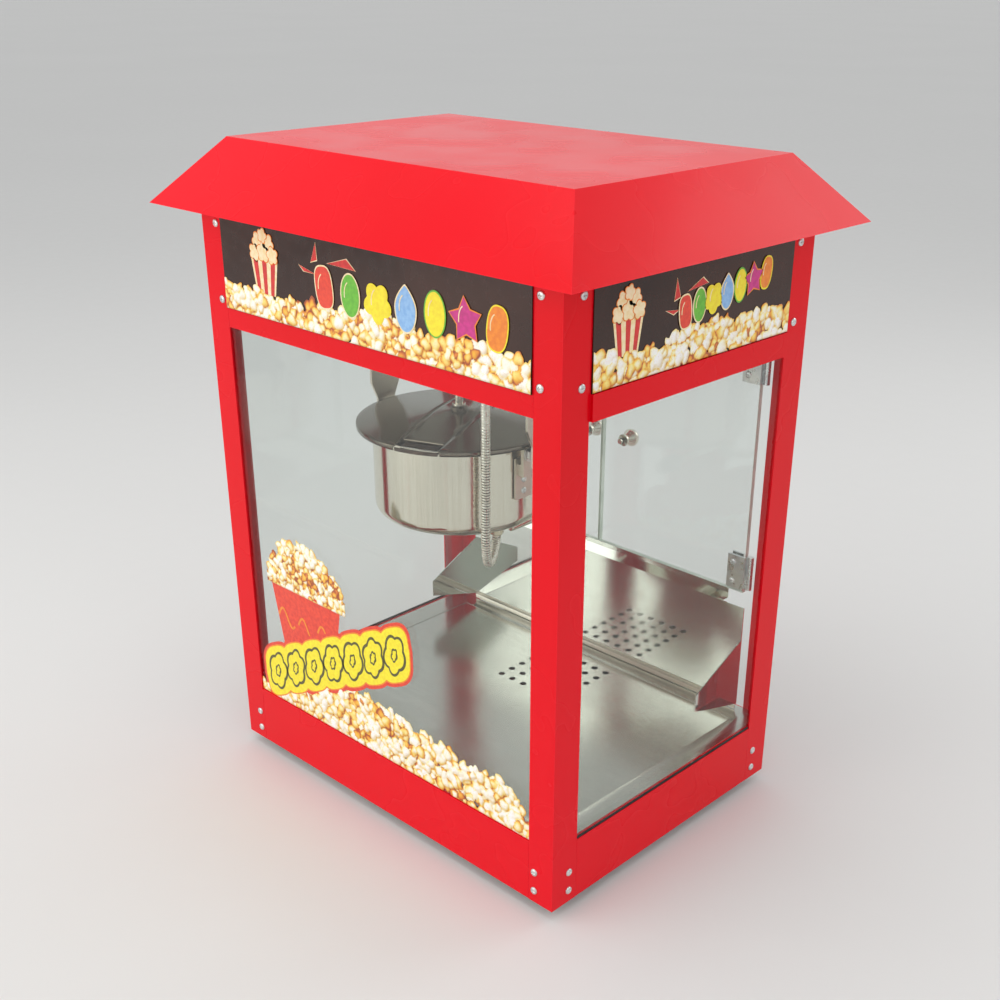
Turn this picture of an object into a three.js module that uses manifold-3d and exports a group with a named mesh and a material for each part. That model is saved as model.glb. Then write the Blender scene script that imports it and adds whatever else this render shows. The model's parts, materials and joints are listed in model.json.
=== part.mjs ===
// Countertop popcorn maker: a glazed sheet-metal cabinet with a hipped roof, a tipping kettle with a
// stirrer and two lid flaps, a perforated floor over a kernel drawer, and a serving flap and two glass
// doors on the operator's side. Millimetres, +Z up. The origin is on the table under the cabinet's
// centre, +X is along the width and -Y is the customer's side.

import * as THREE from 'three';
import { mergeVertices } from 'three/addons/utils/BufferGeometryUtils.js';
import Module from 'manifold-3d';

const wasm = await Module();
wasm.setup();

// ---------- driving dimensions ----------

const gap = 0.3;                       // clearance between pieces that touch
const sheet = 1.2;                     // sheet metal thickness
const roofWidth = 560;
const roofDepth = 420;
const overallHeight = 680;
const footHeight = 12;
const cabinet = { width: 484, depth: 352 };
const eaveZ = 618;
const baseTop = 79.5;                  // top of the red base, where the glass starts
const floorZ = 76;                     // top face of the stainless floor
const railBottom = 500;                // bottom of the header on the front and back
const sideRailBottom = 496;            // bottom of the side channels
const panelBottom = 520;               // bottom of the printed header panels
const postFlange = { front: 31, side: 34 };
const postSheet = 1.5;
const glassThickness = 4;
const kettle = {
  x: -40, y: -20,
  rimZ: 407, bottomZ: 308,
  bodyRadius: 90.5, lidRadius: 107,
  pivotZ: 394,
  lidRise: 10,
  lidTurn: THREE.MathUtils.degToRad(22), // how far the lid's bar is turned from the cabinet's depth
};

// ---------- derived places ----------

const halfWidth = cabinet.width / 2;
const halfDepth = cabinet.depth / 2;
const innerEdgeX = halfWidth - postFlange.front;
const innerEdgeY = halfDepth - postFlange.side;
const headerTop = eaveZ - gap;
const skinInset = postSheet + gap;     // from the outer face to whatever lies behind a post
const ceiling = { bottom: railBottom + 3, top: railBottom + 3 + sheet };

// ---------- materials ----------

function finish(color, roughness, metalness, extra = {}) {
  return new THREE.MeshStandardMaterial({ color, roughness, metalness, ...extra });
}

const redPaint = finish(0xd8071c, 0.3, 0.1);
const stainless = finish(0xb9b8b2, 0.3, 1);
const polished = finish(0xd6d3cb, 0.12, 1);
const printedPanel = finish(0x17100e, 0.2, 0);
const clearGlass = finish(0xe4efe9, 0.05, 0, { transparent: true, opacity: 0.25 });
const rubber = finish(0x161616, 0.85, 0);
const blackPlastic = finish(0x1b1b1c, 0.45, 0);
const zincSteel = finish(0x9a9c9e, 0.45, 0.9);
const castAluminium = finish(0x8c8b88, 0.5, 0.8);
const elementSteel = finish(0x4a4340, 0.55, 0.7);
const brass = finish(0xb08d4a, 0.3, 1);
const switchRed = finish(0xc3161a, 0.25, 0);
const ceramic = finish(0xe9e4d8, 0.5, 0);

// ---------- shape helpers ----------

function box(x0, x1, y0, y1, z0, z1) {
  const shape = new THREE.BoxGeometry(x1 - x0, y1 - y0, z1 - z0);
  return shape.translate((x0 + x1) / 2, (y0 + y1) / 2, (z0 + z1) / 2);
}

// A box given by its centre in X and its half-width.
function centred(halfX, y0, y1, z0, z1, x = 0) {
  return box(x - halfX, x + halfX, y0, y1, z0, z1);
}

function upright(radius, z0, z1, x, y, sides = 24) {
  const shape = new THREE.CylinderGeometry(radius, radius, z1 - z0, sides);
  return shape.rotateX(Math.PI / 2).translate(x, y, (z0 + z1) / 2);
}

function alongX(radius, x0, x1, y, z, sides = 20) {
  const shape = new THREE.CylinderGeometry(radius, radius, x1 - x0, sides);
  return shape.rotateZ(Math.PI / 2).translate((x0 + x1) / 2, y, z);
}

function alongY(radius, y0, y1, x, z, sides = 20) {
  const shape = new THREE.CylinderGeometry(radius, radius, y1 - y0, sides);
  return shape.translate(x, (y0 + y1) / 2, z);
}

// A solid of revolution about +Z. The profile is a list of [radius, z].
function turned(profile, x, y, z, sides = 48) {
  const points = profile.map(([radius, height]) => new THREE.Vector2(radius, height));
  return new THREE.LatheGeometry(points, sides).rotateX(Math.PI / 2).translate(x, y, z);
}

// A tube along a curve, closed at both ends.
function tube(curve, radius, steps, sides = 10) {
  const section = new THREE.Shape();
  section.absarc(0, 0, radius, 0, Math.PI * 2);
  return new THREE.ExtrudeGeometry(section, { extrudePath: curve, steps, curveSegments: sides / 2 });
}

// A flat outline in the YZ plane, pulled along +X from x0 to x1.
function sidePlate(outline, x0, x1) {
  const shape = new THREE.Shape(outline.map(([y, z]) => new THREE.Vector2(y, z)));
  const plate = new THREE.ExtrudeGeometry(shape, { depth: x1 - x0, bevelEnabled: false });
  return plate.rotateX(Math.PI / 2).rotateZ(Math.PI / 2).translate(x0, 0, 0);
}

function toSolid(geometry) {
  const bare = geometry.clone();
  for (const name of Object.keys(bare.attributes)) {
    if (name !== 'position') bare.deleteAttribute(name);
  }
  const merged = mergeVertices(bare, 1e-4);
  return new wasm.Manifold(new wasm.Mesh({
    numProp: 3,
    vertProperties: new Float32Array(merged.attributes.position.array),
    triVerts: new Uint32Array(merged.index.array),
  }));
}

function toGeometry(solid) {
  const mesh = solid.getMesh();
  const geometry = new THREE.BufferGeometry();
  geometry.setAttribute('position', new THREE.BufferAttribute(mesh.vertProperties, 3));
  geometry.setIndex(new THREE.BufferAttribute(mesh.triVerts, 1));
  geometry.computeVertexNormals();
  return geometry;
}

function join(shapes, holes = []) {
  let solid = shapes.map(toSolid).reduce((sum, shape) => sum.add(shape));
  for (const hole of holes) solid = solid.subtract(toSolid(hole));
  return toGeometry(solid);
}

function common(first, second) {
  return toGeometry(toSolid(first).intersect(toSolid(second)));
}

const popcornMaker = new THREE.Group();

function add(name, geometry, material) {
  const mesh = new THREE.Mesh(geometry, material);
  mesh.name = name;
  popcornMaker.add(mesh);
}

const sides = [
  { word: 'left', x: -1 },
  { word: 'right', x: 1 },
];
const ends = [
  { word: 'front', y: -1 },
  { word: 'rear', y: 1 },
];

// Orders two bounds so that a mirrored piece keeps low before high.
function mirroredBox(signX, x0, x1, signY, y0, y1, z0, z1) {
  const [lowX, highX] = [signX * x0, signX * x1].sort((a, b) => a - b);
  const [lowY, highY] = [signY * y0, signY * y1].sort((a, b) => a - b);
  return box(lowX, highX, lowY, highY, z0, z1);
}

// ---------- frame, base and header ----------

// A panel in the front (signY = -1) or rear (signY = 1) face: flush with the posts between them, and
// with a lap behind each post's flange.
function facePanel(signY, z0, z1) {
  const visible = innerEdgeX - gap;
  const lap = halfWidth - skinInset - sheet - gap;
  return [
    mirroredBox(1, -visible, visible, signY, halfDepth - skinInset - sheet, halfDepth, z0, z1),
    mirroredBox(1, -lap, lap, signY, halfDepth - skinInset - sheet, halfDepth - skinInset, z0, z1),
  ];
}

// The same in the left (signX = -1) or right face.
function sidePanel(signX, z0, z1) {
  const visible = innerEdgeY - gap;
  const lap = halfDepth - skinInset - sheet - gap;
  return [
    mirroredBox(signX, halfWidth - skinInset - sheet, halfWidth, 1, -visible, visible, z0, z1),
    mirroredBox(signX, halfWidth - skinInset - sheet, halfWidth - skinInset, 1, -lap, lap, z0, z1),
  ];
}

function makePosts() {
  for (const end of ends) {
    for (const side of sides) {
      const z = [footHeight, headerTop];
      const face = mirroredBox(side.x, innerEdgeX, halfWidth, end.y, halfDepth - postSheet, halfDepth, ...z);
      const flank = mirroredBox(side.x, halfWidth - postSheet, halfWidth, end.y, innerEdgeY, halfDepth, ...z);
      add(`post_${end.word}_${side.word}`, join([face, flank]), redPaint);
    }
  }
}

const drawer = { halfX: 100, frontHalfX: 104, y0: 34, z0: 22, z1: 58 };

function makeBase() {
  const z0 = footHeight + gap;
  const walls = [];
  for (const end of ends) walls.push(...facePanel(end.y, z0, baseTop));
  for (const side of sides) walls.push(...sidePanel(side.x, z0, baseTop));
  // The corners of the inner wall close behind the posts.
  const outer = [halfWidth - skinInset, halfDepth - skinInset];
  const shellOutside = box(-outer[0], outer[0], -outer[1], outer[1], z0, baseTop);
  const ledgeWidth = 16;
  const inner = [outer[0] - sheet, outer[1] - sheet];
  const lowerHollow = box(-inner[0], inner[0], -inner[1], inner[1], z0 - 1, baseTop - sheet);
  const mouth = box(-outer[0] + ledgeWidth, outer[0] - ledgeWidth, -outer[1] + ledgeWidth,
    outer[1] - ledgeWidth + 6, z0, baseTop + 1);
  const drawerMouth = box(-drawer.frontHalfX - gap, drawer.frontHalfX + gap, 0, halfDepth + 1,
    drawer.z0 - 2 - gap, drawer.z1 + 2 + gap);
  add('base_box', join([...walls, shellOutside], [lowerHollow, mouth, drawerMouth]), redPaint);

  const plateX = inner[0] - gap;
  const plateY = inner[1] - gap;
  const plateZ = footHeight + gap;
  const runner = (signX) => mirroredBox(signX, drawer.halfX + 2, drawer.halfX + 2 + sheet, 1,
    drawer.y0, 150, plateZ, 40);
  const vents = [];
  for (let i = -3; i <= 3; i += 1) vents.push(box(i * 20 - 2.5, i * 20 + 2.5, -120, -60, 0, 20));
  add('base_bottom_plate',
    join([box(-plateX, plateX, -plateY, plateY, plateZ, plateZ + sheet), runner(-1), runner(1)], vents),
    zincSteel);
}

function makeFeet() {
  const footInset = 34;
  const hollow = [[0, 3], [5, 3], [5, 0]];
  const profile = [...hollow, [11.7, 0], [12.5, 0.8], [15, 9], [15, footHeight], [0, footHeight]];
  for (const end of ends) {
    for (const side of sides) {
      const foot = turned(profile, side.x * (halfWidth - footInset), end.y * (halfDepth - footInset), 0, 20);
      add(`foot_${end.word}_${side.word}`, foot, rubber);
    }
  }
}

const railProud = 3;                   // how far the side channels stand out
const switchCentreZ = 560;
const switchSpacing = 42;
const switchWindow = { halfX: 9, halfZ: 12 };
const glandPlace = { x: 170, z: 556 };

function makeHeader() {
  const switchSlot = centred(70, 100, halfDepth + 1, switchCentreZ - 18, switchCentreZ + 18);
  const glandHole = alongY(8.4, 100, halfDepth + 1, glandPlace.x, glandPlace.z);
  const vents = [];
  for (let i = 0; i < 6; i += 1) {
    vents.push(box(-196, -120, 100, halfDepth + 1, 534 + i * 9, 538 + i * 9));
  }
  const sideHeight = [sideRailBottom + gap, headerTop];
  add('header_front', join(facePanel(-1, railBottom, headerTop)), redPaint);
  add('header_rear', join(facePanel(1, railBottom, headerTop), [switchSlot, glandHole, ...vents]), redPaint);
  const clearCorners = halfDepth - skinInset - sheet - gap;
  for (const side of sides) {
    const sheets = common(join(sidePanel(side.x, ...sideHeight)),
      box(-halfWidth, halfWidth, -clearCorners + gap, clearCorners - gap, 0, overallHeight));
    const channel = mirroredBox(side.x, halfWidth - sheet, halfWidth + railProud, 1,
      -innerEdgeY + 1, innerEdgeY - 1, sideRailBottom + gap, panelBottom - gap);
    add(`header_${side.word}`, join([sheets, channel]), redPaint);
  }
}

const panelSheet = 1;

function makeHeaderTrim() {
  const face = halfDepth + gap;
  add('print_panel_front',
    centred(innerEdgeX - 1, -face - panelSheet, -face, panelBottom, headerTop - 5), printedPanel);
  for (const side of sides) {
    const x0 = halfWidth + gap;
    const halfY = innerEdgeY - 1;
    add(`print_panel_${side.word}`,
      mirroredBox(side.x, x0, x0 + panelSheet, 1, -halfY, halfY, panelBottom, headerTop - 5), printedPanel);
  }
}

function makeRoof() {
  const top = { x: roofWidth / 2 - 53, y: roofDepth / 2 - 61 };
  const eave = { x: roofWidth / 2, y: roofDepth / 2 };
  const outside = frustum(eave, top, eaveZ, overallHeight);
  const thin = 1.6;
  const inside = frustum({ x: eave.x - 3.2, y: eave.y - 3.2 }, { x: top.x - 1, y: top.y - 1 },
    eaveZ + thin, overallHeight - thin);
  const mouth = box(-halfWidth + 14, halfWidth - 14, -halfDepth + 14, halfDepth - 14, eaveZ - 1, eaveZ + 5);
  add('roof', join([outside], [inside, mouth]), redPaint);
}

// A block whose four sides lean in from a lower rectangle to an upper one.
function frustum(low, high, z0, z1) {
  const block = box(-1, 1, -1, 1, z0, z1);
  const place = block.attributes.position;
  for (let i = 0; i < place.count; i += 1) {
    const size = place.getZ(i) > (z0 + z1) / 2 ? high : low;
    place.setXY(i, place.getX(i) * size.x, place.getY(i) * size.y);
  }
  return block;
}

// ---------- glass and floor ----------

function makeGlass() {
  const frontFace = halfDepth - skinInset;
  const sideFace = halfWidth - skinInset;
  const bottom = baseTop + gap;
  add('glass_front',
    centred(innerEdgeX + 10, -frontFace, -frontFace + glassThickness, bottom, railBottom - gap), clearGlass);
  for (const side of sides) {
    const pane = mirroredBox(side.x, sideFace - glassThickness, sideFace, 1,
      -innerEdgeY - 8, innerEdgeY + 8, bottom, sideRailBottom);
    add(`glass_${side.word}`, pane, clearGlass);
  }
}

const tray = { halfX: 223, frontY: -157, rearY: 160, lip: 3 };
const sieve = { rows: 6, pitch: 17.4, radius: 4, y: 90 };

function makeFloor() {
  const z0 = floorZ - sheet;
  const plate = box(-tray.halfX, tray.halfX, tray.frontY, tray.rearY, z0, floorZ);
  const lips = sides.map((side) => mirroredBox(side.x, tray.halfX - sheet, tray.halfX, 1,
    tray.frontY, tray.rearY, z0, floorZ + tray.lip));
  const holes = [];
  for (let row = 0; row < sieve.rows; row += 1) {
    for (let column = 0; column < sieve.rows; column += 1) {
      const x = (column - (sieve.rows - 1) / 2) * sieve.pitch;
      const y = sieve.y + (row - (sieve.rows - 1) / 2) * sieve.pitch;
      holes.push(upright(sieve.radius, z0 - 2, floorZ + 2, x, y, 12));
    }
  }
  add('floor_tray', join([plate, ...lips], holes), stainless);
}

function makeWarmer() {
  // A hairpin element under the floor's front half.
  const z = floorZ - sheet - 6.5;
  const bends = [[-150, -130], [150, -130], [150, -60], [-150, -60]];
  const route = new THREE.CurvePath();
  const corner = 22;
  const points = [];
  points.push(new THREE.Vector3(bends[0][0], bends[0][1], z));
  points.push(new THREE.Vector3(bends[1][0] - corner, bends[1][1], z));
  for (let i = 1; i < 12; i += 1) {
    const turn = -Math.PI / 2 + (Math.PI * i) / 12;
    const middleY = (bends[1][1] + bends[2][1]) / 2;
    const reach = (bends[2][1] - bends[1][1]) / 2;
    const x = bends[1][0] - corner + reach * Math.cos(turn);
    points.push(new THREE.Vector3(x, middleY + reach * Math.sin(turn), z));
  }
  points.push(new THREE.Vector3(bends[2][0] - corner, bends[2][1], z));
  points.push(new THREE.Vector3(bends[3][0], bends[3][1], z));
  for (let i = 1; i < points.length; i += 1) route.add(new THREE.LineCurve3(points[i - 1], points[i]));
  add('warming_element', tube(route, 4, 40, 8), elementSteel);
}

function makeDrawer() {
  const backY = halfDepth - sheet;
  const outside = centred(drawer.halfX, drawer.y0, backY, drawer.z0, drawer.z1);
  const front = centred(drawer.frontHalfX, backY, halfDepth, drawer.z0 - 2, drawer.z1 + 2);
  const hollow = centred(drawer.halfX - sheet, drawer.y0 + sheet, backY - sheet,
    drawer.z0 + sheet, drawer.z1 + 1);
  const pullZ = (drawer.z0 + drawer.z1) / 2;
  const pull = [
    centred(34, halfDepth - 0.1, halfDepth + 16, pullZ + 5, pullZ + 5 + 1.6),
    centred(34, halfDepth + 14.4, halfDepth + 16, pullZ - 4, pullZ + 6),
  ];
  add('kernel_drawer', join([outside, front, ...pull], [hollow]), stainless);
}

// ---------- ceiling, drive and electrics ----------

const hanger = { x: 114, sheet: 3, halfY: 20, footHalfY: 12 };
const lamp = { x: 130, y: -30 };
const cableTop = { x: 59, y: -80 };

function makeCeiling() {
  const halfX = halfWidth - skinInset - sheet - 2 * gap;
  const halfY = halfDepth - skinInset - sheet - 2 * gap;
  const plate = box(-halfX, halfX, -halfY, halfY, ceiling.bottom, ceiling.top);
  const holes = [
    upright(9, ceiling.bottom - 1, ceiling.top + 1, kettle.x, kettle.y),
    upright(30, ceiling.bottom - 1, ceiling.top + 1, lamp.x, lamp.y, 32),
    upright(9, ceiling.bottom - 1, ceiling.top + 1, cableTop.x, cableTop.y),
  ];
  add('ceiling_pan', join([plate], holes), stainless);
}

function makeHangers() {
  for (const side of sides) {
    const x0 = kettle.x + side.x * hanger.x;
    const lowX = Math.min(x0, x0 + side.x * hanger.sheet);
    const outline = [
      [kettle.y - hanger.footHalfY, kettle.pivotZ - 10],
      [kettle.y + hanger.footHalfY, kettle.pivotZ - 10],
      [kettle.y + hanger.footHalfY, kettle.pivotZ + 12],
      [kettle.y + hanger.halfY, kettle.pivotZ + 30],
      [kettle.y + hanger.halfY, ceiling.bottom - gap],
      [kettle.y - hanger.halfY, ceiling.bottom - gap],
      [kettle.y - hanger.halfY, kettle.pivotZ + 30],
      [kettle.y - hanger.footHalfY, kettle.pivotZ + 12],
    ];
    const arm = sidePlate(outline, lowX, lowX + hanger.sheet);
    const top = ceiling.bottom - gap;
    const foot = box(Math.min(x0, x0 + side.x * 24), Math.max(x0, x0 + side.x * 24),
      kettle.y - hanger.halfY, kettle.y + hanger.halfY, top - hanger.sheet, top);
    const bore = alongX(trunnion.radius + gap, lowX - 1, lowX + hanger.sheet + 1,
      kettle.y, kettle.pivotZ, 24);
    add(`hanger_${side.word}`, join([arm, foot], [bore]), polished);
  }
}

// The coupling stays inside the ceiling, because the tipping kettle's rim sweeps right below it.
const coupling = { radius: 8, bottom: ceiling.bottom + gap, height: 14, shaftRadius: 4 };

function makeDrive() {
  const { x, y } = kettle;
  const base = ceiling.top + gap;
  const gearboxTop = base + 30;
  const couplingTop = coupling.bottom + coupling.height;
  const gearbox = box(x - 34, x + 34, y - 28, y + 28, base, gearboxTop);
  const can = upright(27, gearboxTop, gearboxTop + 50, x, y, 32);
  const bores = [
    upright(coupling.radius + 2 * gap, base - 1, couplingTop + gap, x, y),
    upright(coupling.shaftRadius + gap, base, couplingTop + 12, x, y),
  ];
  add('gear_motor', join([gearbox, can], bores), zincSteel);
  const shaft = upright(coupling.shaftRadius, couplingTop - 1, couplingTop + 11, x, y);
  const cup = upright(coupling.radius, coupling.bottom, couplingTop, x, y);
  add('drive_shaft', join([shaft, cup]), polished);
}

function makeLamp() {
  const top = headerTop - 18;
  const holder = [[0, -30], [14, -30], [17, -26], [17, 0], [0, 0]];
  add('lamp_holder', turned(holder, lamp.x, lamp.y, top, 24), ceramic);
  const neck = -30 - gap;
  const bulb = [[0, -70], [9, -68], [17, -62], [21, -53], [20, -44], [13, -33], [12, neck], [0, neck]];
  add('lamp_bulb', turned(bulb, lamp.x, lamp.y, top, 24), clearGlass);
}

function makeSwitches() {
  const face = halfDepth + gap;
  const plate = centred(76, face, face + 2, switchCentreZ - 21, switchCentreZ + 21);
  const housing = centred(68, halfDepth - 26, face, switchCentreZ - 16, switchCentreZ + 16);
  const windows = [];
  for (let i = -1; i <= 1; i += 1) {
    windows.push(centred(switchWindow.halfX + 0.5, halfDepth - 24, face + 3,
      switchCentreZ - switchWindow.halfZ - 1.5, switchCentreZ + switchWindow.halfZ + 1.5, i * switchSpacing));
  }
  add('switch_plate', join([plate, housing], windows), blackPlastic);
  const names = ['rocker_heat', 'rocker_stir', 'rocker_light'];
  names.forEach((name, index) => {
    const x = (index - 1) * switchSpacing;
    const { halfZ } = switchWindow;
    const outline = [[-9, -8], [2.5, -halfZ], [1, 0], [2.5, halfZ], [-9, 8]];
    const rocker = sidePlate(outline, x - switchWindow.halfX, x + switchWindow.halfX);
    rocker.rotateX(THREE.MathUtils.degToRad(-9));
    rocker.translate(0, face + 1, switchCentreZ);
    add(name, rocker, switchRed);
  });
}

function makeGland() {
  const profile = [[5, 0], [12, 0], [12, 5], [9.5, 6], [9.5, 14], [8, 16], [5, 16]];
  const cap = turned([...profile, profile[0]], 0, 0, 0, 20);
  const shank = [[5, -14], [8, -14], [8, 0.5], [5, 0.5], [5, -14]];
  const gland = join([cap, turned(shank, 0, 0, 0, 20)]);
  gland.rotateX(-Math.PI / 2).translate(glandPlace.x, halfDepth + gap, glandPlace.z);
  add('cord_gland', gland, blackPlastic);
}

// ---------- kettle ----------

const trunnion = { radius: 4.5, strapX: 91, earX: 97.5, plate: 2, ear: 4 };
const jacketTop = 40;                  // the heater's cover reaches this far up the pot

function makePot() {
  const { x, y, rimZ, bottomZ, bodyRadius } = kettle;
  const depth = rimZ - bottomZ;
  const r = bodyRadius;
  const wall = 1.5;
  const flangeZ = -3;
  const heel = (radius, centreZ, inset, steps = 3) => {
    const arc = [];
    for (let i = 0; i <= steps; i += 1) {
      const turn = -Math.PI / 2 + (Math.PI / 2) * (i / steps);
      arc.push([inset + radius * Math.cos(turn), centreZ + radius * Math.sin(turn)]);
    }
    return arc;
  };
  const floorInside = -depth + 22;
  const pot = [
    [0, floorInside - wall],
    ...heel(10, floorInside - wall + 10, r - 12),
    [r - 2, flangeZ - wall],
    [r + 6, flangeZ - wall],
    [r + 6, flangeZ],
    [r - 2 - wall, flangeZ],
    ...heel(10 - wall, floorInside + 10 - wall, r - 12).reverse(),
    [0, floorInside],
  ];
  add('kettle_pot', turned(pot, x, y, rimZ, 40), stainless);
  const jacket = [
    [0, -depth],
    ...heel(14, -depth + 14, r - 14),
    [r, flangeZ - wall - gap],
    [r - 1, flangeZ - wall - gap],
    ...heel(13, -depth + 14, r - 14).reverse(),
    [0, -depth + 1],
  ];
  add('kettle_jacket', turned(jacket, x, y, rimZ, 40), polished);
  const heater = [[0, 0], [r - 22, 0], [r - 22, 12], [0, 12]];
  add('heater_plate', turned(heater, x, y, rimZ + floorInside - wall - gap - 12, 40), castAluminium);
}

// A box between two distances from the kettle's axis, on the side given by signX.
function kettleSideBox(signX, near, far, halfY, z0, z1) {
  const [low, high] = [kettle.x + signX * near, kettle.x + signX * far].sort((a, b) => a - b);
  return box(low, high, kettle.y - halfY, kettle.y + halfY, z0, z1);
}

function makeTrunnions() {
  const { pivotZ } = kettle;
  const strapFar = trunnion.strapX + trunnion.plate;
  const earFar = trunnion.earX + trunnion.ear;
  for (const side of sides) {
    const strap = kettleSideBox(side.x, trunnion.strapX, strapFar, 12, pivotZ - 50, pivotZ - 6);
    const web = kettleSideBox(side.x, trunnion.strapX, earFar, 9, pivotZ - 24, pivotZ - 12);
    const ear = kettleSideBox(side.x, trunnion.earX, earFar, 9, pivotZ - 24, pivotZ + 7);
    const reach = [trunnion.earX + 1, hanger.x + hanger.sheet + 6].map((far) => kettle.x + side.x * far);
    const pin = alongX(trunnion.radius, Math.min(...reach), Math.max(...reach), kettle.y, pivotZ, 24);
    add(`trunnion_${side.word}`, join([strap, web, ear, pin]), polished);
  }
}

// The lid is a shallow cone with a turned-down rim, cut into a fixed bar and two flaps. It is drawn
// with the bar along Y and then turned with lidTurn.
const bar = { halfX: 23, frontCut: 86 };
const stirrerRod = 4.4;

function lidShell() {
  const { lidRadius, lidRise } = kettle;
  const skin = 1.2;
  return turned([
    [0, lidRise - skin],
    [lidRadius - skin, -skin],
    [lidRadius - skin, -5],
    [lidRadius, -5],
    [lidRadius, 0],
    [0, lidRise],
  ], 0, 0, 0, 48);
}

function placeOnKettle(geometry) {
  return geometry.rotateZ(kettle.lidTurn).translate(kettle.x, kettle.y, kettle.rimZ);
}

function makeLid() {
  const reach = kettle.lidRadius + 2;
  const strip = common(lidShell(), box(-bar.halfX, bar.halfX, -bar.frontCut, reach, -9, 20));
  const potLip = kettle.bodyRadius + 6;
  const footHalfX = bar.halfX - 4;
  const feet = [
    box(-footHalfX, footHalfX, -potLip + 1, -bar.frontCut + 1.5, -3 + gap, -1.4),
    box(-footHalfX, footHalfX, -bar.frontCut, -bar.frontCut + 1.5, -3 + gap, 1.4),
    box(-footHalfX, footHalfX, potLip - 14, potLip - 3, -3 + gap, 1.4),
  ];
  const hub = upright(9, 4, 13, 0, 0);
  const bore = upright(stirrerRod + gap, -20, 30, 0, 0);
  add('lid_bar', placeOnKettle(join([strip, ...feet, hub], [bore])), polished);
  for (const side of sides) {
    const half = mirroredBox(side.x, bar.halfX + 0.6, reach, 1, -reach, reach, -9, 20);
    add(`lid_flap_${side.word}`, placeOnKettle(common(lidShell(), half)), polished);
  }
}

function makeStirrer() {
  const { x, y, rimZ, bottomZ, bodyRadius } = kettle;
  const floorInside = bottomZ - rimZ + 22;
  const bladeZ = floorInside + 4;
  const rod = upright(stirrerRod, bladeZ, coupling.bottom - rimZ - 1, 0, 0);
  const collar = upright(7, 13 + gap, 16.5, 0, 0);
  const reach = bodyRadius - 18;
  const blade = box(-reach, reach, -2, 2, bladeZ, bladeZ + 9);
  const finger = box(-reach, -reach + 4, -2, 2, bladeZ, bladeZ + 26);
  const stirrer = join([rod, collar, blade, finger]).rotateZ(kettle.lidTurn + Math.PI / 5);
  add('stirrer', stirrer.translate(x, y, rimZ), polished);
}

const handle = { x: kettle.x + 68, y0: kettle.y + 6, y1: kettle.y + 80, z: kettle.bottomZ - 6, radius: 4.5 };

function makeDumpHandle() {
  const rod = alongY(handle.radius, handle.y0, handle.y1, handle.x, handle.z, 12);
  const pad = box(handle.x - 14, handle.x + 4, handle.y0, handle.y0 + 34,
    kettle.bottomZ - 4, kettle.bottomZ - gap);
  add('dump_handle', join([rod, pad]), polished);
  const grip = turned([[0, 0], [8, 0], [9.5, 4], [9.5, 24], [7, 30], [0, 31]], 0, 0, 0, 20);
  add('dump_grip', grip.rotateX(-Math.PI / 2).translate(handle.x, handle.y1 + gap, handle.z), blackPlastic);
}

const cableEnd = { x: kettle.x + 66, y: kettle.y - 12 };

function makeKettleCable() {
  const low = kettle.bottomZ - 24;
  const route = [
    [cableTop.x, cableTop.y, ceiling.bottom - gap],
    [cableTop.x, cableTop.y, 440],
    [cableTop.x, cableTop.y, 360],
    [cableTop.x - 1, cableTop.y + 1, low + 22],
    [cableTop.x - 7, cableTop.y + 10, low + 3],
    [cableEnd.x + 14, cableEnd.y - 20, low],
    [cableEnd.x, cableEnd.y - 0.5, kettle.bottomZ - 15],
    [cableEnd.x, cableEnd.y, kettle.bottomZ - 9.4],
  ];
  const points = route.map((point) => new THREE.Vector3(...point));
  const curve = new THREE.CatmullRomCurve3(points, false, 'centripetal');
  add('kettle_cable', tube(curve, 4.8, 40, 8), zincSteel);
  const gland = [[0, -8], [8, -8], [8, -gap], [0, -gap]];
  add('kettle_gland', turned(gland, cableEnd.x, cableEnd.y, kettle.bottomZ, 24), brass);
}

// ---------- operator's side ----------

const flapHinge = { y: 169.5, z: 83, radius: 3.4, pin: 1.8, halfX: 158 };
const flapPlate = { y: 165, halfX: 207, top: 206, bottom: 87 };
const knuckles = 7;

function knuckleRange(index) {
  const length = (2 * flapHinge.halfX) / knuckles;
  return [-flapHinge.halfX + index * length + gap, -flapHinge.halfX + (index + 1) * length - gap];
}

// Every second knuckle belongs to the flap and the others to the base's leaf.
function hingeKnuckles(parity) {
  const shapes = [];
  for (let index = parity; index < knuckles; index += 2) {
    const [x0, x1] = knuckleRange(index);
    shapes.push(alongX(flapHinge.radius, x0, x1, flapHinge.y, flapHinge.z, 16));
  }
  return shapes;
}

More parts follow.
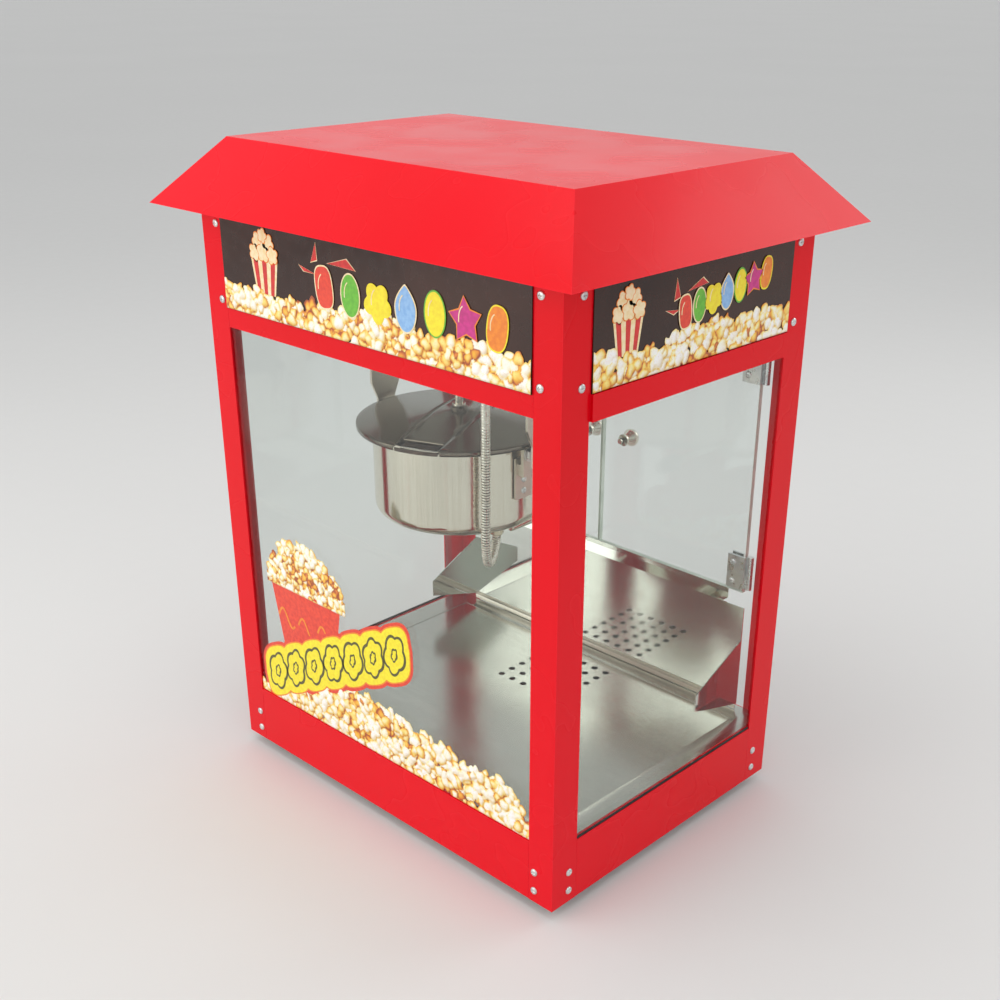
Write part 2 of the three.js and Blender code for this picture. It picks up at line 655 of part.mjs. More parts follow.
function makeServingFlap() {
  const { y, halfX, top, bottom } = flapPlate;
  const plate = centred(halfX, y, y + sheet, bottom, top);
  const cheek = [[88, 109], [88, 129], [y + 0.5, 167], [y + 0.5, bottom]];
  const cheeks = sides.map((side) => {
    const x = [side.x * (halfX - sheet), side.x * halfX].sort((a, b) => a - b);
    return sidePlate(cheek, x[0], x[1]);
  });
  const grip = [
    centred(178, y, y + 12, top - sheet, top),
    centred(178, y + 12 - sheet, y + 12, top - sheet, top + 12),
  ];
  const leaf = centred(flapHinge.halfX, y, y + sheet, flapHinge.z + flapHinge.radius - 1, bottom + 1);
  const strips = [];
  for (let index = 0; index < knuckles; index += 2) {
    const [x0, x1] = knuckleRange(index);
    strips.push(box(x0, x1, y, flapHinge.y, flapHinge.z + 1.4, flapHinge.z + 1.4 + 2 * sheet));
  }
  const pinHole = alongX(flapHinge.pin + 0.25, -halfX, halfX, flapHinge.y, flapHinge.z, 16);
  const flap = join([plate, ...cheeks, ...grip, leaf, ...strips, ...hingeKnuckles(0)], [pinHole]);
  add('serving_flap', flap, polished);

  const fixedLeaf = centred(flapHinge.halfX, flapHinge.y - 1, halfDepth - 3,
    baseTop + gap, baseTop + gap + sheet);
  const clear = [];
  for (let index = 0; index < knuckles; index += 2) {
    const [x0, x1] = knuckleRange(index);
    clear.push(box(x0 - gap, x1 + gap, flapHinge.y - 8, flapHinge.y + 3.9, baseTop, flapHinge.z + 6));
  }
  const pin = alongX(flapHinge.pin, -flapHinge.halfX, flapHinge.halfX, flapHinge.y, flapHinge.z, 16);
  add('flap_hinge_leaf', join([join([fixedLeaf, ...hingeKnuckles(1)], clear), pin]), polished);
}

const door = {
  glassY: 164, thickness: 5, bottom: 224, top: 498, meeting: 1, outer: 204,
  pivotX: 208.5, pivotY: 168,
};
const doorOutside = door.glassY + door.thickness;
const clamp = {
  inner: 184, outer: 205.5, outsideEnd: 198, halfZ: 19,
  cheek: 3, web: 2, barrel: 3.2,
  screwX: 191, screwStep: 11, screwRadius: 2.5,
};
const clampLevels = [
  { word: 'lower', z: 247 },
  { word: 'upper', z: 474 },
];
const knobPlace = { x: 26, z: 352 };

// The shanks of a clamp's two screws, which pass through the glass.
function clampScrews(signX, z, radius) {
  const x = signX * clamp.screwX;
  const levels = [z - clamp.screwStep, z + clamp.screwStep];
  return levels.map((level) => alongY(radius, door.glassY - 1, doorOutside + 1, x, level, 12));
}

// Two cheeks grip the glass. The outside one is shorter, so that the open door clears its post.
function clampShape(signX, z) {
  const height = [z - clamp.halfZ, z + clamp.halfZ];
  const insideY = [door.glassY - clamp.cheek, door.glassY - gap];
  const outsideY = [doorOutside + gap, doorOutside + clamp.cheek];
  const webY = [door.pivotY - clamp.web, door.pivotY + clamp.web];
  return join([
    mirroredBox(signX, clamp.inner, clamp.outer, 1, ...insideY, ...height),
    mirroredBox(signX, clamp.inner, clamp.outsideEnd, 1, ...outsideY, ...height),
    mirroredBox(signX, door.outer + gap, clamp.outer, 1, insideY[0], webY[1], ...height),
    mirroredBox(signX, clamp.outer - 1, door.pivotX, 1, ...webY, ...height),
    upright(clamp.barrel, ...height, signX * door.pivotX, door.pivotY, 16),
    ...clampScrews(signX, z, clamp.screwRadius),
  ]);
}

function makeDoors() {
  const shank = -2 * gap - door.thickness;
  const knob = [[0, shank], [3, shank], [3, 0], [7, 0], [6, 5], [10, 12], [10, 17], [7, 20], [0, 20]];
  for (const side of sides) {
    const pane = mirroredBox(side.x, door.meeting, door.outer, 1, door.glassY, doorOutside,
      door.bottom, door.top);
    const holes = clampLevels.flatMap(({ z }) => clampScrews(side.x, z, clamp.screwRadius + gap));
    holes.push(alongY(3.3, door.glassY - 1, doorOutside + 1, side.x * knobPlace.x, knobPlace.z, 16));
    add(`door_${side.word}`, join([pane], holes), clearGlass);
    for (const { word, z } of clampLevels) {
      add(`door_clamp_${word}_${side.word}`, clampShape(side.x, z), polished);
    }
    const turnedKnob = turned(knob, 0, 0, 0, 18).rotateX(-Math.PI / 2);
    turnedKnob.translate(side.x * knobPlace.x, doorOutside + gap, knobPlace.z);
    add(`door_knob_${side.word}`, turnedKnob, polished);
  }
}

makePosts();
makeBase();
makeFeet();
makeHeader();
makeHeaderTrim();
makeRoof();
makeGlass();
makeFloor();
makeWarmer();
makeDrawer();
makeCeiling();
makeHangers();
makeDrive();
makeLamp();
makeSwitches();
makeGland();
makePot();
makeTrunnions();
makeLid();
makeStirrer();
makeDumpHandle();
makeKettleCable();
makeServingFlap();
makeDoors();

export default popcornMaker;
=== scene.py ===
"""Countertop popcorn maker: materials, smooth kettle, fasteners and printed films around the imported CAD."""

import json
import math
import random

import bmesh
import bpy
import numpy as np
from mathutils import Matrix, Vector


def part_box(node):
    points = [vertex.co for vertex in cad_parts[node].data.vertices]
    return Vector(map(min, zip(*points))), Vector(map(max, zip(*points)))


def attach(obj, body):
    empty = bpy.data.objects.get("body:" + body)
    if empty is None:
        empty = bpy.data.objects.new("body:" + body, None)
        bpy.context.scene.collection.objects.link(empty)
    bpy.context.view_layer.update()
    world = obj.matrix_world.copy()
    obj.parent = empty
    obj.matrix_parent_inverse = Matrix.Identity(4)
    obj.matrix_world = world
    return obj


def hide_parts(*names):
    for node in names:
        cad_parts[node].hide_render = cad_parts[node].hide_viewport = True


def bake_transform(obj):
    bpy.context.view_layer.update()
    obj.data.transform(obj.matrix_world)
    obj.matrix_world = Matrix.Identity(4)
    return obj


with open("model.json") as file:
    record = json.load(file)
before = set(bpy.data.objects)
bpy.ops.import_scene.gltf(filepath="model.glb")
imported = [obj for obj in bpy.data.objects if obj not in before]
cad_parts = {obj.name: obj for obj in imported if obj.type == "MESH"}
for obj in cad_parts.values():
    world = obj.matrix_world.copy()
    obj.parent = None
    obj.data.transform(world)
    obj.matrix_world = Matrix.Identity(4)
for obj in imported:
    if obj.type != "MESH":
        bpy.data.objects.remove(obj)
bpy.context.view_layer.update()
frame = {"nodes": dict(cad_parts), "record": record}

SCENE = bpy.context.scene
MM = 0.001
SIDES = (("left", -1), ("right", 1))  # the word in a name, and the sign of x


# ---------- places read from the frame ----------

def corners(node):
    """A CAD node's lowest and highest corners at rest, in millimetres."""
    low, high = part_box(node)
    return low / MM, high / MM


def centre_of(node):
    low, high = corners(node)
    return (low + high) / 2


RECORD = frame["record"]
SLOT_OF = {part["node"]: part["material_slot"] for part in RECORD["subparts"]}
BODY_OF = {node: body for body, nodes in RECORD["behaviour"]["bodies"].items() for node in nodes}
JOINTS = {joint["name"]: joint for joint in RECORD["behaviour"]["joints"]}
PIVOT_Z = JOINTS["kettle_tilt"]["pos_m"][2] / MM
JACKET_LOW, JACKET_HIGH = corners("kettle_jacket")
KETTLE = centre_of("kettle_jacket")
KETTLE_RADIUS = (JACKET_HIGH.x - JACKET_LOW.x) / 2
BOTTOM_Z = JACKET_LOW.z
FLANGE_Z = corners("kettle_pot")[1].z
RIM_Z = FLANGE_Z + 3
SILL_Z = corners("base_box")[1].z


# ---------- mesh helpers ----------

def add_piece(name, shape, slot, body, materials=None, sharp=35, solid=0.0, bevel=0.0):
    """A mesh piece from a shape in millimetres. It rides on a body, unless that is None."""
    verts, faces = shape
    mesh = bpy.data.meshes.new(name)
    mesh.from_pydata([Vector(v) * MM for v in verts], [], faces)
    mesh.validate()
    if not solid:
        face_outwards(mesh)
    mesh.shade_smooth()
    mesh.set_sharp_from_angle(angle=math.radians(sharp))
    for material in materials or [FINISHES[slot]]:
        mesh.materials.append(material)
    obj = bpy.data.objects.new(name, mesh)
    SCENE.collection.objects.link(obj)
    if solid:
        thicken = obj.modifiers.new("thickness", "SOLIDIFY")
        thicken.thickness = solid * MM
        thicken.offset = -1
        thicken.use_even_offset = True
    if bevel:
        round_edges(obj, bevel)
    if body:
        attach(obj, body)
    return obj


def stand_in(node, name, shape, **looks):
    """A finer shape that takes a CAD node's place, in its slot and on its body."""
    piece = add_piece(name, shape, SLOT_OF[node], BODY_OF[node], **looks)
    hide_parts(node)


def face_outwards(mesh):
    """Turns every face of a closed mesh outwards."""
    shell = bmesh.new()
    shell.from_mesh(mesh)
    bmesh.ops.recalc_face_normals(shell, faces=shell.faces)
    shell.to_mesh(mesh)
    shell.free()


def round_edges(obj, width):
    edge = obj.modifiers.new("edge", "BEVEL")
    edge.width = width * MM
    edge.segments = 2
    edge.limit_method = "ANGLE"
    edge.angle_limit = math.radians(40)
    edge.harden_normals = True
    edge.use_clamp_overlap = True


def fillet(points, radius, steps=5):
    """Rounds the corners between an open outline's two ends."""
    out = [points[0]]
    for before, corner, after in zip(points, points[1:], points[2:]):
        corner = Vector(corner)
        to_before = Vector(before) - corner
        to_after = Vector(after) - corner
        reach = min(radius, to_before.length * 0.45, to_after.length * 0.45)
        start = corner + to_before.normalized() * reach
        end = corner + to_after.normalized() * reach
        for i in range(steps + 1):
            t = i / steps
            out.append(tuple(start * (1 - t) ** 2 + corner * 2 * t * (1 - t) + end * t ** 2))
    out.append(points[-1])
    return out


def arc(radius, x, z, start, stop, steps=8):
    """[radius, z] points round a corner's centre, between two angles in degrees."""
    turns = [math.radians(start + (stop - start) * i / steps) for i in range(steps + 1)]
    return [(x + radius * math.cos(turn), z + radius * math.sin(turn)) for turn in turns]


def round_trip(steps):
    """The cosine and sine of evenly spaced turns."""
    turns = [2 * math.pi * i / steps for i in range(steps)]
    return [(math.cos(turn), math.sin(turn)) for turn in turns]


def bridged(rings, closed=False):
    """Faces between each ring of point numbers and the next. A ring may repeat one point."""
    faces = []
    for low, high in zip(rings, rings[1:] + rings[:1] if closed else rings[1:]):
        for i in range(len(low)):
            j = (i + 1) % len(low)
            face = list(dict.fromkeys((low[i], low[j], high[j], high[i])))
            if len(face) > 2:
                faces.append(face)
    return faces


def loft(rings, closed=False):
    """A solid through rings of equally many points. It has end caps unless it closes on itself."""
    width = len(rings[0])
    numbers = [list(range(i * width, (i + 1) * width)) for i in range(len(rings))]
    faces = bridged(numbers, closed)
    if not closed:
        faces += [numbers[0][::-1], numbers[-1]]
    return [point for ring in rings for point in ring], faces


def revolve(profile, steps):
    """A closed turned solid about +Z from [radius, z] points. Points on the axis become one vertex."""
    verts, rings = [], []
    for radius, z in profile:
        start = len(verts)
        if radius < 1e-6:
            rings.append([start] * steps)
            verts.append((0, 0, z))
        else:
            rings.append(list(range(start, start + steps)))
            verts += [(radius * c, radius * s, z) for c, s in round_trip(steps)]
    return verts, bridged(rings, closed=profile[0][0] > 1e-6)


def turned_bar(inner, outer, z0, z1, rounding, steps):
    """A turned rod, or a washer where its inner radius isn't 0, with rounded outer edges."""
    return revolve(fillet([(inner, z0), (outer, z0), (outer, z1), (inner, z1)], rounding), steps)


def moved(shape, x=0, y=0, z=0, turn=None):
    """A shape turned by a matrix and then moved."""
    verts, faces = shape
    shift = Vector((x, y, z))
    if turn is not None:
        verts = [turn @ Vector(v) for v in verts]
    return [Vector(v) + shift for v in verts], faces


def merged(shapes):
    verts, faces = [], []
    for more_verts, more_faces in shapes:
        start = len(verts)
        verts.extend(more_verts)
        faces.extend([[i + start for i in face] for face in more_faces])
    return verts, faces


def block(x0, x1, y0, y1, z0, z1):
    verts = [(x, y, z) for x in (x0, x1) for y in (y0, y1) for z in (z0, z1)]
    faces = [(0, 1, 3, 2), (4, 6, 7, 5), (0, 4, 5, 1), (2, 3, 7, 6), (0, 2, 6, 4), (1, 5, 7, 3)]
    return verts, faces


TO_PLUS_X = Matrix.Rotation(math.pi / 2, 3, "Y")
TO_MINUS_X = Matrix.Rotation(-math.pi / 2, 3, "Y")
TO_MINUS_Y = Matrix.Rotation(math.pi / 2, 3, "X")
TO_PLUS_Y = Matrix.Rotation(-math.pi / 2, 3, "X")


# ---------- materials ----------

class Finish:
    """A Principled material whose colour, roughness and bump come from noise in object space."""

    def __init__(self, name, **sockets):
        self.material = bpy.data.materials.new(name)
        self.material.use_nodes = True
        self.tree = self.material.node_tree
        self.shader = self.tree.nodes["Principled BSDF"]
        for socket, value in sockets.items():
            self.shader.inputs[socket.replace("_", " ")].default_value = value

    def node(self, kind, inputs=(), **settings):
        made = self.tree.nodes.new("ShaderNode" + kind)
        for key, value in settings.items():
            setattr(made, key, value)
        for key, value in dict(inputs).items():
            self.put(made.inputs[key], value)
        return made

    def put(self, socket, value):
        if isinstance(value, bpy.types.NodeSocket):
            self.tree.links.new(value, socket)
        else:
            socket.default_value = value

    def noise(self, scale, detail=3.0, stretch=(1, 1, 1), distortion=0.0):
        place = self.node("TexCoord").outputs["Object"]
        place = self.node("Mapping", {"Vector": place, "Scale": stretch}).outputs["Vector"]
        inputs = {"Vector": place, "Scale": scale, "Detail": detail, "Distortion": distortion}
        return self.node("TexNoise", inputs).outputs["Fac"]

    def spread(self, value, low, high, source=(0.3, 0.7)):
        inputs = {"Value": value, "From Min": source[0], "From Max": source[1], "To Min": low, "To Max": high}
        return self.node("MapRange", inputs, interpolation_type="SMOOTHSTEP").outputs["Result"]

    def cloud(self, scale, low=0, high=1, source=(0.3, 0.7), detail=3.0):
        """Noise brought between two values."""
        return self.spread(self.noise(scale, detail), low, high, source)

    def mix(self, factor, first, second, blend_type="MIX"):
        made = self.node("Mix", data_type="RGBA", blend_type=blend_type)
        for socket, value in ((0, factor), (6, first), (7, second)):
            self.put(made.inputs[socket], value)
        return made.outputs[2]

    def dressed(self, colour, roughness, height=None, strength=0.0, distance=0.0):
        """The material, once its colour, roughness and bump are set."""
        self.put(self.shader.inputs["Base Color"], colour)
        self.put(self.shader.inputs["Roughness"], roughness)
        if height is not None:
            inputs = {"Height": height, "Strength": strength, "Distance": distance * MM}
            self.put(self.shader.inputs["Normal"], self.node("Bump", inputs).outputs["Normal"])
        return self.material

    def edge_highlight_mask(self, radius, low, high):
        """1 on rounded edges, which get a painted highlight, 0 on flat faces."""
        bent = self.node("Bevel", {"Radius": radius * MM}, samples=4).outputs["Normal"]
        flat = self.node("NewGeometry").outputs["Normal"]
        same = self.node("VectorMath", {0: bent, 1: flat}, operation="DOT_PRODUCT").outputs["Value"]
        return self.spread(same, 1.0, 0.0, (low, high))


def rgb(red, green, blue):
    """A linear colour from its 0 to 255 screen values."""
    def linear(value):
        value /= 255
        return value / 12.92 if value <= 0.04045 else ((value + 0.055) / 1.055) ** 2.4
    return (linear(red), linear(green), linear(blue), 1.0)


def red_paint():
    """Gloss powder coat: faint orange peel, a hardly cloudy tone, and a painted highlight that makes the
    edges paler.
    """
    paint = Finish("red_paint", Coat_Weight=0.05, Coat_Roughness=0.12, Specular_IOR_Level=0.16)
    tone = paint.mix(paint.cloud(3.0, detail=1.0), rgb(226, 0, 18), rgb(234, 0, 26))
    tone = paint.mix(paint.cloud(1600, 0, 0.6, (0.66, 0.8), 1.0), tone, rgb(246, 22, 44))
    # Painted highlight: the rounded edges are lightened to a paler red.
    tone = paint.mix(paint.edge_highlight_mask(0.8, 0.80, 0.98), tone, rgb(244, 18, 42))
    return paint.dressed(tone, paint.cloud(12, 0.22, 0.3, detail=2.0), paint.noise(420, 1.0), 0.04, 0.06)


def brushed(name, low, high, grain, rough, strength=0.02, smudges=0.1):
    """Rolled or brushed steel with its grain along one axis, faint smudges and fine scratches."""
    steel = Finish(name, Metallic=1.0)
    lines = steel.noise(1.0, 4.0, stretch=grain)
    smudge = steel.noise(9, 2.0, distortion=0.4)
    tone = steel.mix(steel.spread(lines, 0, 1), rgb(*low), rgb(*high))
    tone = steel.mix(steel.spread(smudge, 0.0, smudges), tone, rgb(120, 114, 102))
    inputs = {0: steel.spread(lines, *rough), 1: steel.spread(smudge, -0.02, 0.04)}
    roughness = steel.node("Math", inputs, operation="ADD").outputs["Value"]
    return steel.dressed(tone, roughness, lines, strength, 0.03)


def printed_panel():
    """Black gloss film with a warm cast, dust specks and a slightly wavy face."""
    film = Finish("printed_panel", Coat_Weight=0.2, Coat_Roughness=0.1, Specular_IOR_Level=0.35)
    body = film.mix(film.cloud(9), rgb(44, 20, 12), rgb(62, 32, 20))
    tone = film.mix(film.cloud(2200, 0, 1, (0.66, 0.75), 1.0), body, rgb(92, 66, 52))
    return film.dressed(tone, film.cloud(90, 0.16, 0.3), film.noise(45), 0.05, 0.2)


def clear_glass():
    """A pane that lets light straight through, mirrors more at a slant and has faint smears."""
    haze = 0.015
    glass = Finish("clear_glass")
    nodes = glass.tree.nodes
    nodes.remove(glass.shader)
    facing = glass.node("LayerWeight", {"Blend": 0.5}).outputs["Facing"]
    slant = glass.node("Math", {0: facing, 1: 5.0}, operation="POWER").outputs["Value"]
    mirror = glass.spread(slant, 0.04, 0.85, (0, 1))
    smear = glass.spread(glass.noise(22, 4.0, distortion=1.2), haze, haze * 3)
    clear = glass.node("BsdfTransparent", {"Color": (0.95, 0.965, 0.958, 1)}).outputs["BSDF"]
    gloss = glass.node("BsdfGlossy", {"Color": (1, 1, 1, 1), "Roughness": smear}).outputs["BSDF"]
    both = glass.node("MixShader", {0: mirror, 1: clear, 2: gloss}).outputs["Shader"]
    glass.put(nodes["Material Output"].inputs["Surface"], both)
    return glass.material


def mottled(name, low, high, cloud, rough, sheen, grain, bump, **sockets):
    """Two near tones in clouds, uneven gloss and a fine grain. Noises are given as scale and detail."""
    finish = Finish(name, **sockets)
    tone = finish.mix(finish.cloud(cloud[0], detail=cloud[1]), rgb(*low), rgb(*high))
    return finish.dressed(tone, finish.cloud(sheen, *rough), finish.noise(*grain), *bump)


def moulded(name, low, high, rough, grain=900, **sockets):
    """Moulded plastic or rubber with a fine leathery grain."""
    return mottled(name, low, high, (40, 3.0), rough, 160, (grain, 2.0), (0.18, 0.08), **sockets)


def cast_metal(name, low, high, rough, grain, strength=0.25):
    """Cast, zinc-plated or oxidised metal with a pebbled face."""
    return mottled(name, low, high, (70, 5.0), rough, 130, (grain, 3.0), (strength, 0.12), Metallic=1.0)


def ink(name, colour, deep):
    """Vinyl ink with the film's gloss."""
    return mottled(name, colour, deep, (240, 4.0), (0.28, 0.42), 120, (900, 2.0), (0.06, 0.05),
                   Coat_Weight=0.4, Coat_Roughness=0.1)


def cable_strip():
    """Bright wound strip, with painted shade that makes it dull and dark down in the grooves between its
    turns.
    """
    strip = Finish("armoured_cable", Metallic=1.0)
    groove = strip.node("Attribute", attribute_name="groove").outputs["Fac"]
    bright = strip.mix(strip.cloud(300), rgb(216, 210, 194), rgb(238, 234, 222))
    # Painted shade: the deeper the groove, the darker the strip.
    tone = strip.mix(strip.spread(groove, 0, 1, (0.1, 0.8)), bright, rgb(70, 62, 50))
    return strip.dressed(tone, strip.cloud(160, 0.22, 0.34), strip.noise(900, 2.0), 0.05, 0.03)


def popcorn_print():
    """The printed popcorn: tones stored on the mesh, broken up by fine speckle."""
    film = Finish("popcorn_print", Coat_Weight=0.35, Coat_Roughness=0.12)
    tones = film.node("Attribute", attribute_name="tone").outputs["Color"]
    tone = film.mix(film.cloud(900, 0.0, 0.5, (0.5, 0.8), 4.0), tones, rgb(226, 148, 40), "MULTIPLY")
    return film.dressed(tone, film.cloud(120, 0.3, 0.45), film.noise(500, 3.0), 0.12, 0.08)


SATIN = ((190, 189, 181), (204, 203, 195))
# The polished steel's own pale grey, with a warm tint that is painted warm light: the warm glow reflected on
# the kettle and its hangers.
POLISH = ((221, 213, 197), (228, 221, 206))
# The lid's tones: painted shade and dark reflection, much darker than the pot's polished steel.
SHADED_POLISH = ((112, 103, 92), (130, 121, 108))
MIRROR = ((226, 229, 222), (236, 238, 232))

FINISHES = {
    "red_paint": red_paint(),
    "stainless_satin": brushed("stainless_satin", *SATIN, (20, 1900, 1900), (0.2, 0.23), 0.0015, 0.05),
    "stainless_polished": brushed("stainless_polished", *POLISH, (420, 420, 8), (0.1, 0.13), 0.01, 0.05),
    "printed_panel": printed_panel(),
    "clear_glass": clear_glass(),
    "rubber": moulded("rubber", (26, 26, 27), (44, 43, 42), (0.6, 0.85), 1300),
    "black_plastic": moulded("black_plastic", (24, 24, 26), (36, 36, 38), (0.32, 0.5)),
    "switch_red": moulded("switch_red", (196, 12, 16), (220, 24, 22), (0.18, 0.3), 500, Coat_Weight=0.4),
    "zinc_steel": cast_metal("zinc_steel", (204, 206, 208), (230, 230, 226), (0.24, 0.4), 300, 0.08),
    "cast_aluminium": cast_metal("cast_aluminium", (128, 127, 124), (160, 158, 154), (0.42, 0.6), 900),
    "element_steel": cast_metal("element_steel", (66, 58, 54), (98, 82, 72), (0.45, 0.65), 500),
    "brass": cast_metal("plated_brass", (196, 186, 160), (216, 208, 184), (0.2, 0.34), 260, 0.08),
    "ceramic": moulded("ceramic", (232, 226, 212), (242, 238, 226), (0.25, 0.45), 400),
    "armoured_cable": cable_strip(),
}
# The lid, its hub and its hinge barrels take these darker tones as painted shade and dark reflection.
SHADED_LID_STEEL = brushed("lid_steel_painted_shade", *SHADED_POLISH, (900, 900, 30), (0.12, 0.18), 0.02, 0.1)
SHEET_STEEL = brushed("sheet_steel", *POLISH, (12, 12, 2200), (0.28, 0.34))
FLAP_STEEL = brushed("flap_steel", *MIRROR, (16, 1900, 1900), (0.04, 0.055), 0.0015, 0.04)

INK_TONES = {
    "red": ((226, 34, 26), (200, 22, 20)),
    "scarlet": ((240, 66, 30), (222, 48, 24)),
    "green": ((112, 196, 44), (92, 178, 36)),
    "yellow": ((252, 238, 20), (244, 222, 10)),
    "blue": ((150, 196, 240), (126, 176, 230)),
    "magenta": ((214, 34, 140), (192, 24, 122)),
    "orange": ((248, 146, 20), (236, 124, 12)),
    "cream": ((254, 240, 200), (248, 222, 160)),
    "olive": ((88, 84, 20), (70, 66, 16)),
}
INKS = {name: ink(f"ink_{name}", *tones) for name, tones in INK_TONES.items()}


# ---------- CAD nodes: materials and rounded edges ----------

FINISH_BY_NAME = {
    "serving_flap": FLAP_STEEL,
    "hanger_": SHEET_STEEL,
    "trunnion_": SHEET_STEEL,
    "flap_hinge_leaf": SHEET_STEEL,
    "door_clamp_": FINISHES["zinc_steel"],
}
# The widths of rounded edges in millimetres, by node or by slot, and for all others.
EDGE_WIDTHS = {"roof": 1.4, "printed_panel": 0.3, "clear_glass": 0.5}
EDGE_WIDTH = 0.35
SHARP_ANGLE = 28


def finish_of(node):
    """The finish of a node's slot, unless the start of its name has a finish of its own."""
    own = [finish for start, finish in FINISH_BY_NAME.items() if node.startswith(start)]
    return own[0] if own else FINISHES[SLOT_OF[node]]


def finish_cad_nodes():
    for node, obj in frame["nodes"].items():
        obj.data.materials.clear()
        obj.data.materials.append(finish_of(node))
        obj.data.shade_smooth()
        obj.data.set_sharp_from_angle(angle=math.radians(SHARP_ANGLE))
        round_edges(obj, EDGE_WIDTHS.get(node) or EDGE_WIDTHS.get(SLOT_OF[node]) or EDGE_WIDTH)


# ---------- kettle ----------

def at_kettle(shape, z=0, turn=None):
    return moved(shape, KETTLE.x, KETTLE.y, z, turn)


def make_kettle():
    radius = KETTLE_RADIUS
    floor_z = BOTTOM_Z + 22
    pot = [
        (0, floor_z - 1.5),
        *arc(10, radius - 12, floor_z + 8.5, -90, 0),
        (radius - 2, FLANGE_Z - 1.5),
        *arc(0.7, radius + 5.2, FLANGE_Z - 0.75, -90, 90),
        (radius - 3.5, FLANGE_Z),
        *reversed(arc(8.5, radius - 12, floor_z + 8.5, -90, 0)),
        (0, floor_z),
    ]
    jacket = [
        (0, BOTTOM_Z),
        *arc(14, radius - 14, BOTTOM_Z + 14, -90, 0, 12),
        (radius, FLANGE_Z - 1.8),
        (radius - 1, FLANGE_Z - 1.8),
        *reversed(arc(13, radius - 14, BOTTOM_Z + 14, -90, 0, 12)),
        (0, BOTTOM_Z + 1),
    ]
    stand_in("kettle_pot", "kettle_pot_smooth", at_kettle(revolve(pot, 128)))
    stand_in("kettle_jacket", "kettle_jacket_smooth", at_kettle(revolve(jacket, 160)))


# The lid is drawn with u across its fixed bar and v along it, and is turned by LID_TURN.
LID_TURN = math.radians(22)
LID_RADIUS = 107
LID_RISE = 10
LID_SKIN = 1.2
BAR_HALF = 23
BAR_FRONT = 86
FLAP_START = 23.6


def lid_height(u, v):
    return LID_RISE * (1 - math.hypot(u, v) / LID_RADIUS)


def sheet_grid(rows):
    """A sheet from rows of equally many points."""
    width = len(rows[0])
    faces = []
    for i in range(len(rows) - 1):
        for a in range(i * width, (i + 1) * width - 1):
            faces.append((a, a + 1, a + 1 + width, a + width))
    return [point for row in rows for point in row], faces


def with_skirt(row):
    """Ends a row of lid points with the rim's rounded fold and its turned-down skirt."""
    u, v, z = row[-1]
    away = Vector((u, v)).normalized()
    fold = [(u - away.x * back, v - away.y * back, z - down) for back, down in ((0.9, 0.06), (0.2, 0.5))]
    return row[:-1] + fold + [(u, v, z - 1.3), (u, v, z - 5)]


def flap_rows(side):
    """A lid flap as rows of points from the bar out to the rim."""
    reach = math.sqrt(LID_RADIUS ** 2 - FLAP_START ** 2) - 0.4
    rows = []
    for i in range(73):
        v = reach * math.sin(math.radians(-90 + 180 * i / 72))
        edge = math.sqrt(LID_RADIUS ** 2 - v ** 2)
        us = [FLAP_START + (edge - FLAP_START) * j / 16 for j in range(17)]
        rows.append(with_skirt([(side * u, v, lid_height(u, v)) for u in us]))
    return rows if side > 0 else rows[::-1]


def bar_rows():
    """The fixed bar as rows of points from its turned-down front lip to the rim behind."""
    rows = []
    for i in range(25):
        u = -BAR_HALF + 2 * BAR_HALF * i / 24
        edge = math.sqrt(LID_RADIUS ** 2 - u ** 2)
        vs = [-BAR_FRONT + (edge + BAR_FRONT) * j / 48 for j in range(49)]
        row = [(u, v, lid_height(u, v)) for v in vs]
        end = row[0][2]
        lip = [(u, -BAR_FRONT, end - 4.5), (u, -BAR_FRONT, end - 1), (u, 0.3 - BAR_FRONT, end - 0.3)]
        rows.append(with_skirt(lip + row[1:]))
    return rows[::-1]


def bar_notch(steps=20):
    """The rim that carries on below the notch at the bar's front end."""
    profile = [(LID_RADIUS, -1.4), (LID_RADIUS, -5), (97.2, -5), (97.2, -4.5), (106.2, -4.5), (106.2, -1.4)]
    reach = math.asin((BAR_HALF + 0.2) / LID_RADIUS)
    turns = [-math.pi / 2 - reach + 2 * reach * i / steps for i in range(steps + 1)]
    return loft([[(r * math.cos(turn), r * math.sin(turn), z) for r, z in profile] for turn in turns])


def bar_feet():
    """The bar's front tab, the riser at its inner end and the rear foot, just above the pot's flange."""
    half = BAR_HALF - 4
    low, high = -2.7, 1.2
    return [
        block(-half, half, -95.5, 1 - BAR_FRONT, low, -1.5),
        block(-half, half, 0.2 - BAR_FRONT, 1.4 - BAR_FRONT, low, high),
        block(-half, half, 82.5, 93.5, low, high),
    ]


def lid_hinges():
    """Two rolled hinge barrels along each side of the bar."""
    barrel = turned_bar(0, 1.7, 0, 18, 0.5, 20)
    spots = [(side * (BAR_HALF - 2.2), v) for side in (-1, 1) for v in (-58, 40)]
    return [moved(barrel, u, v, lid_height(u, v) + 1.4, TO_PLUS_Y) for u, v in spots]


def make_lid():
    def on_lid(shape):
        return at_kettle(shape, RIM_Z, Matrix.Rotation(LID_TURN, 3, "Z"))

    skin = {"materials": [SHADED_LID_STEEL], "sharp": 50, "solid": LID_SKIN}
    for word, side in SIDES:
        flap = on_lid(sheet_grid(flap_rows(side)))
        stand_in(f"lid_flap_{word}", f"lid_flap_{word}_smooth", flap, **skin)
    stand_in("lid_bar", "lid_bar_smooth", on_lid(sheet_grid(bar_rows())), **skin)
    hub = turned_bar(4.8, 9, 4, 13, 1.2, 64)
    add_piece("lid_hub", on_lid(hub), "stainless_polished", "kettle", [SHADED_LID_STEEL])
    # The tabs, the riser, the rear foot and the notch's rim take the dark element steel as painted shade, for
    # the shadow in the notch.
    add_piece("lid_notch", on_lid(merged([*bar_feet(), bar_notch()])), "element_steel", "kettle")
    add_piece("lid_hinge_barrels", on_lid(merged(lid_hinges())), "stainless_polished", "kettle", [SHADED_LID_STEEL])


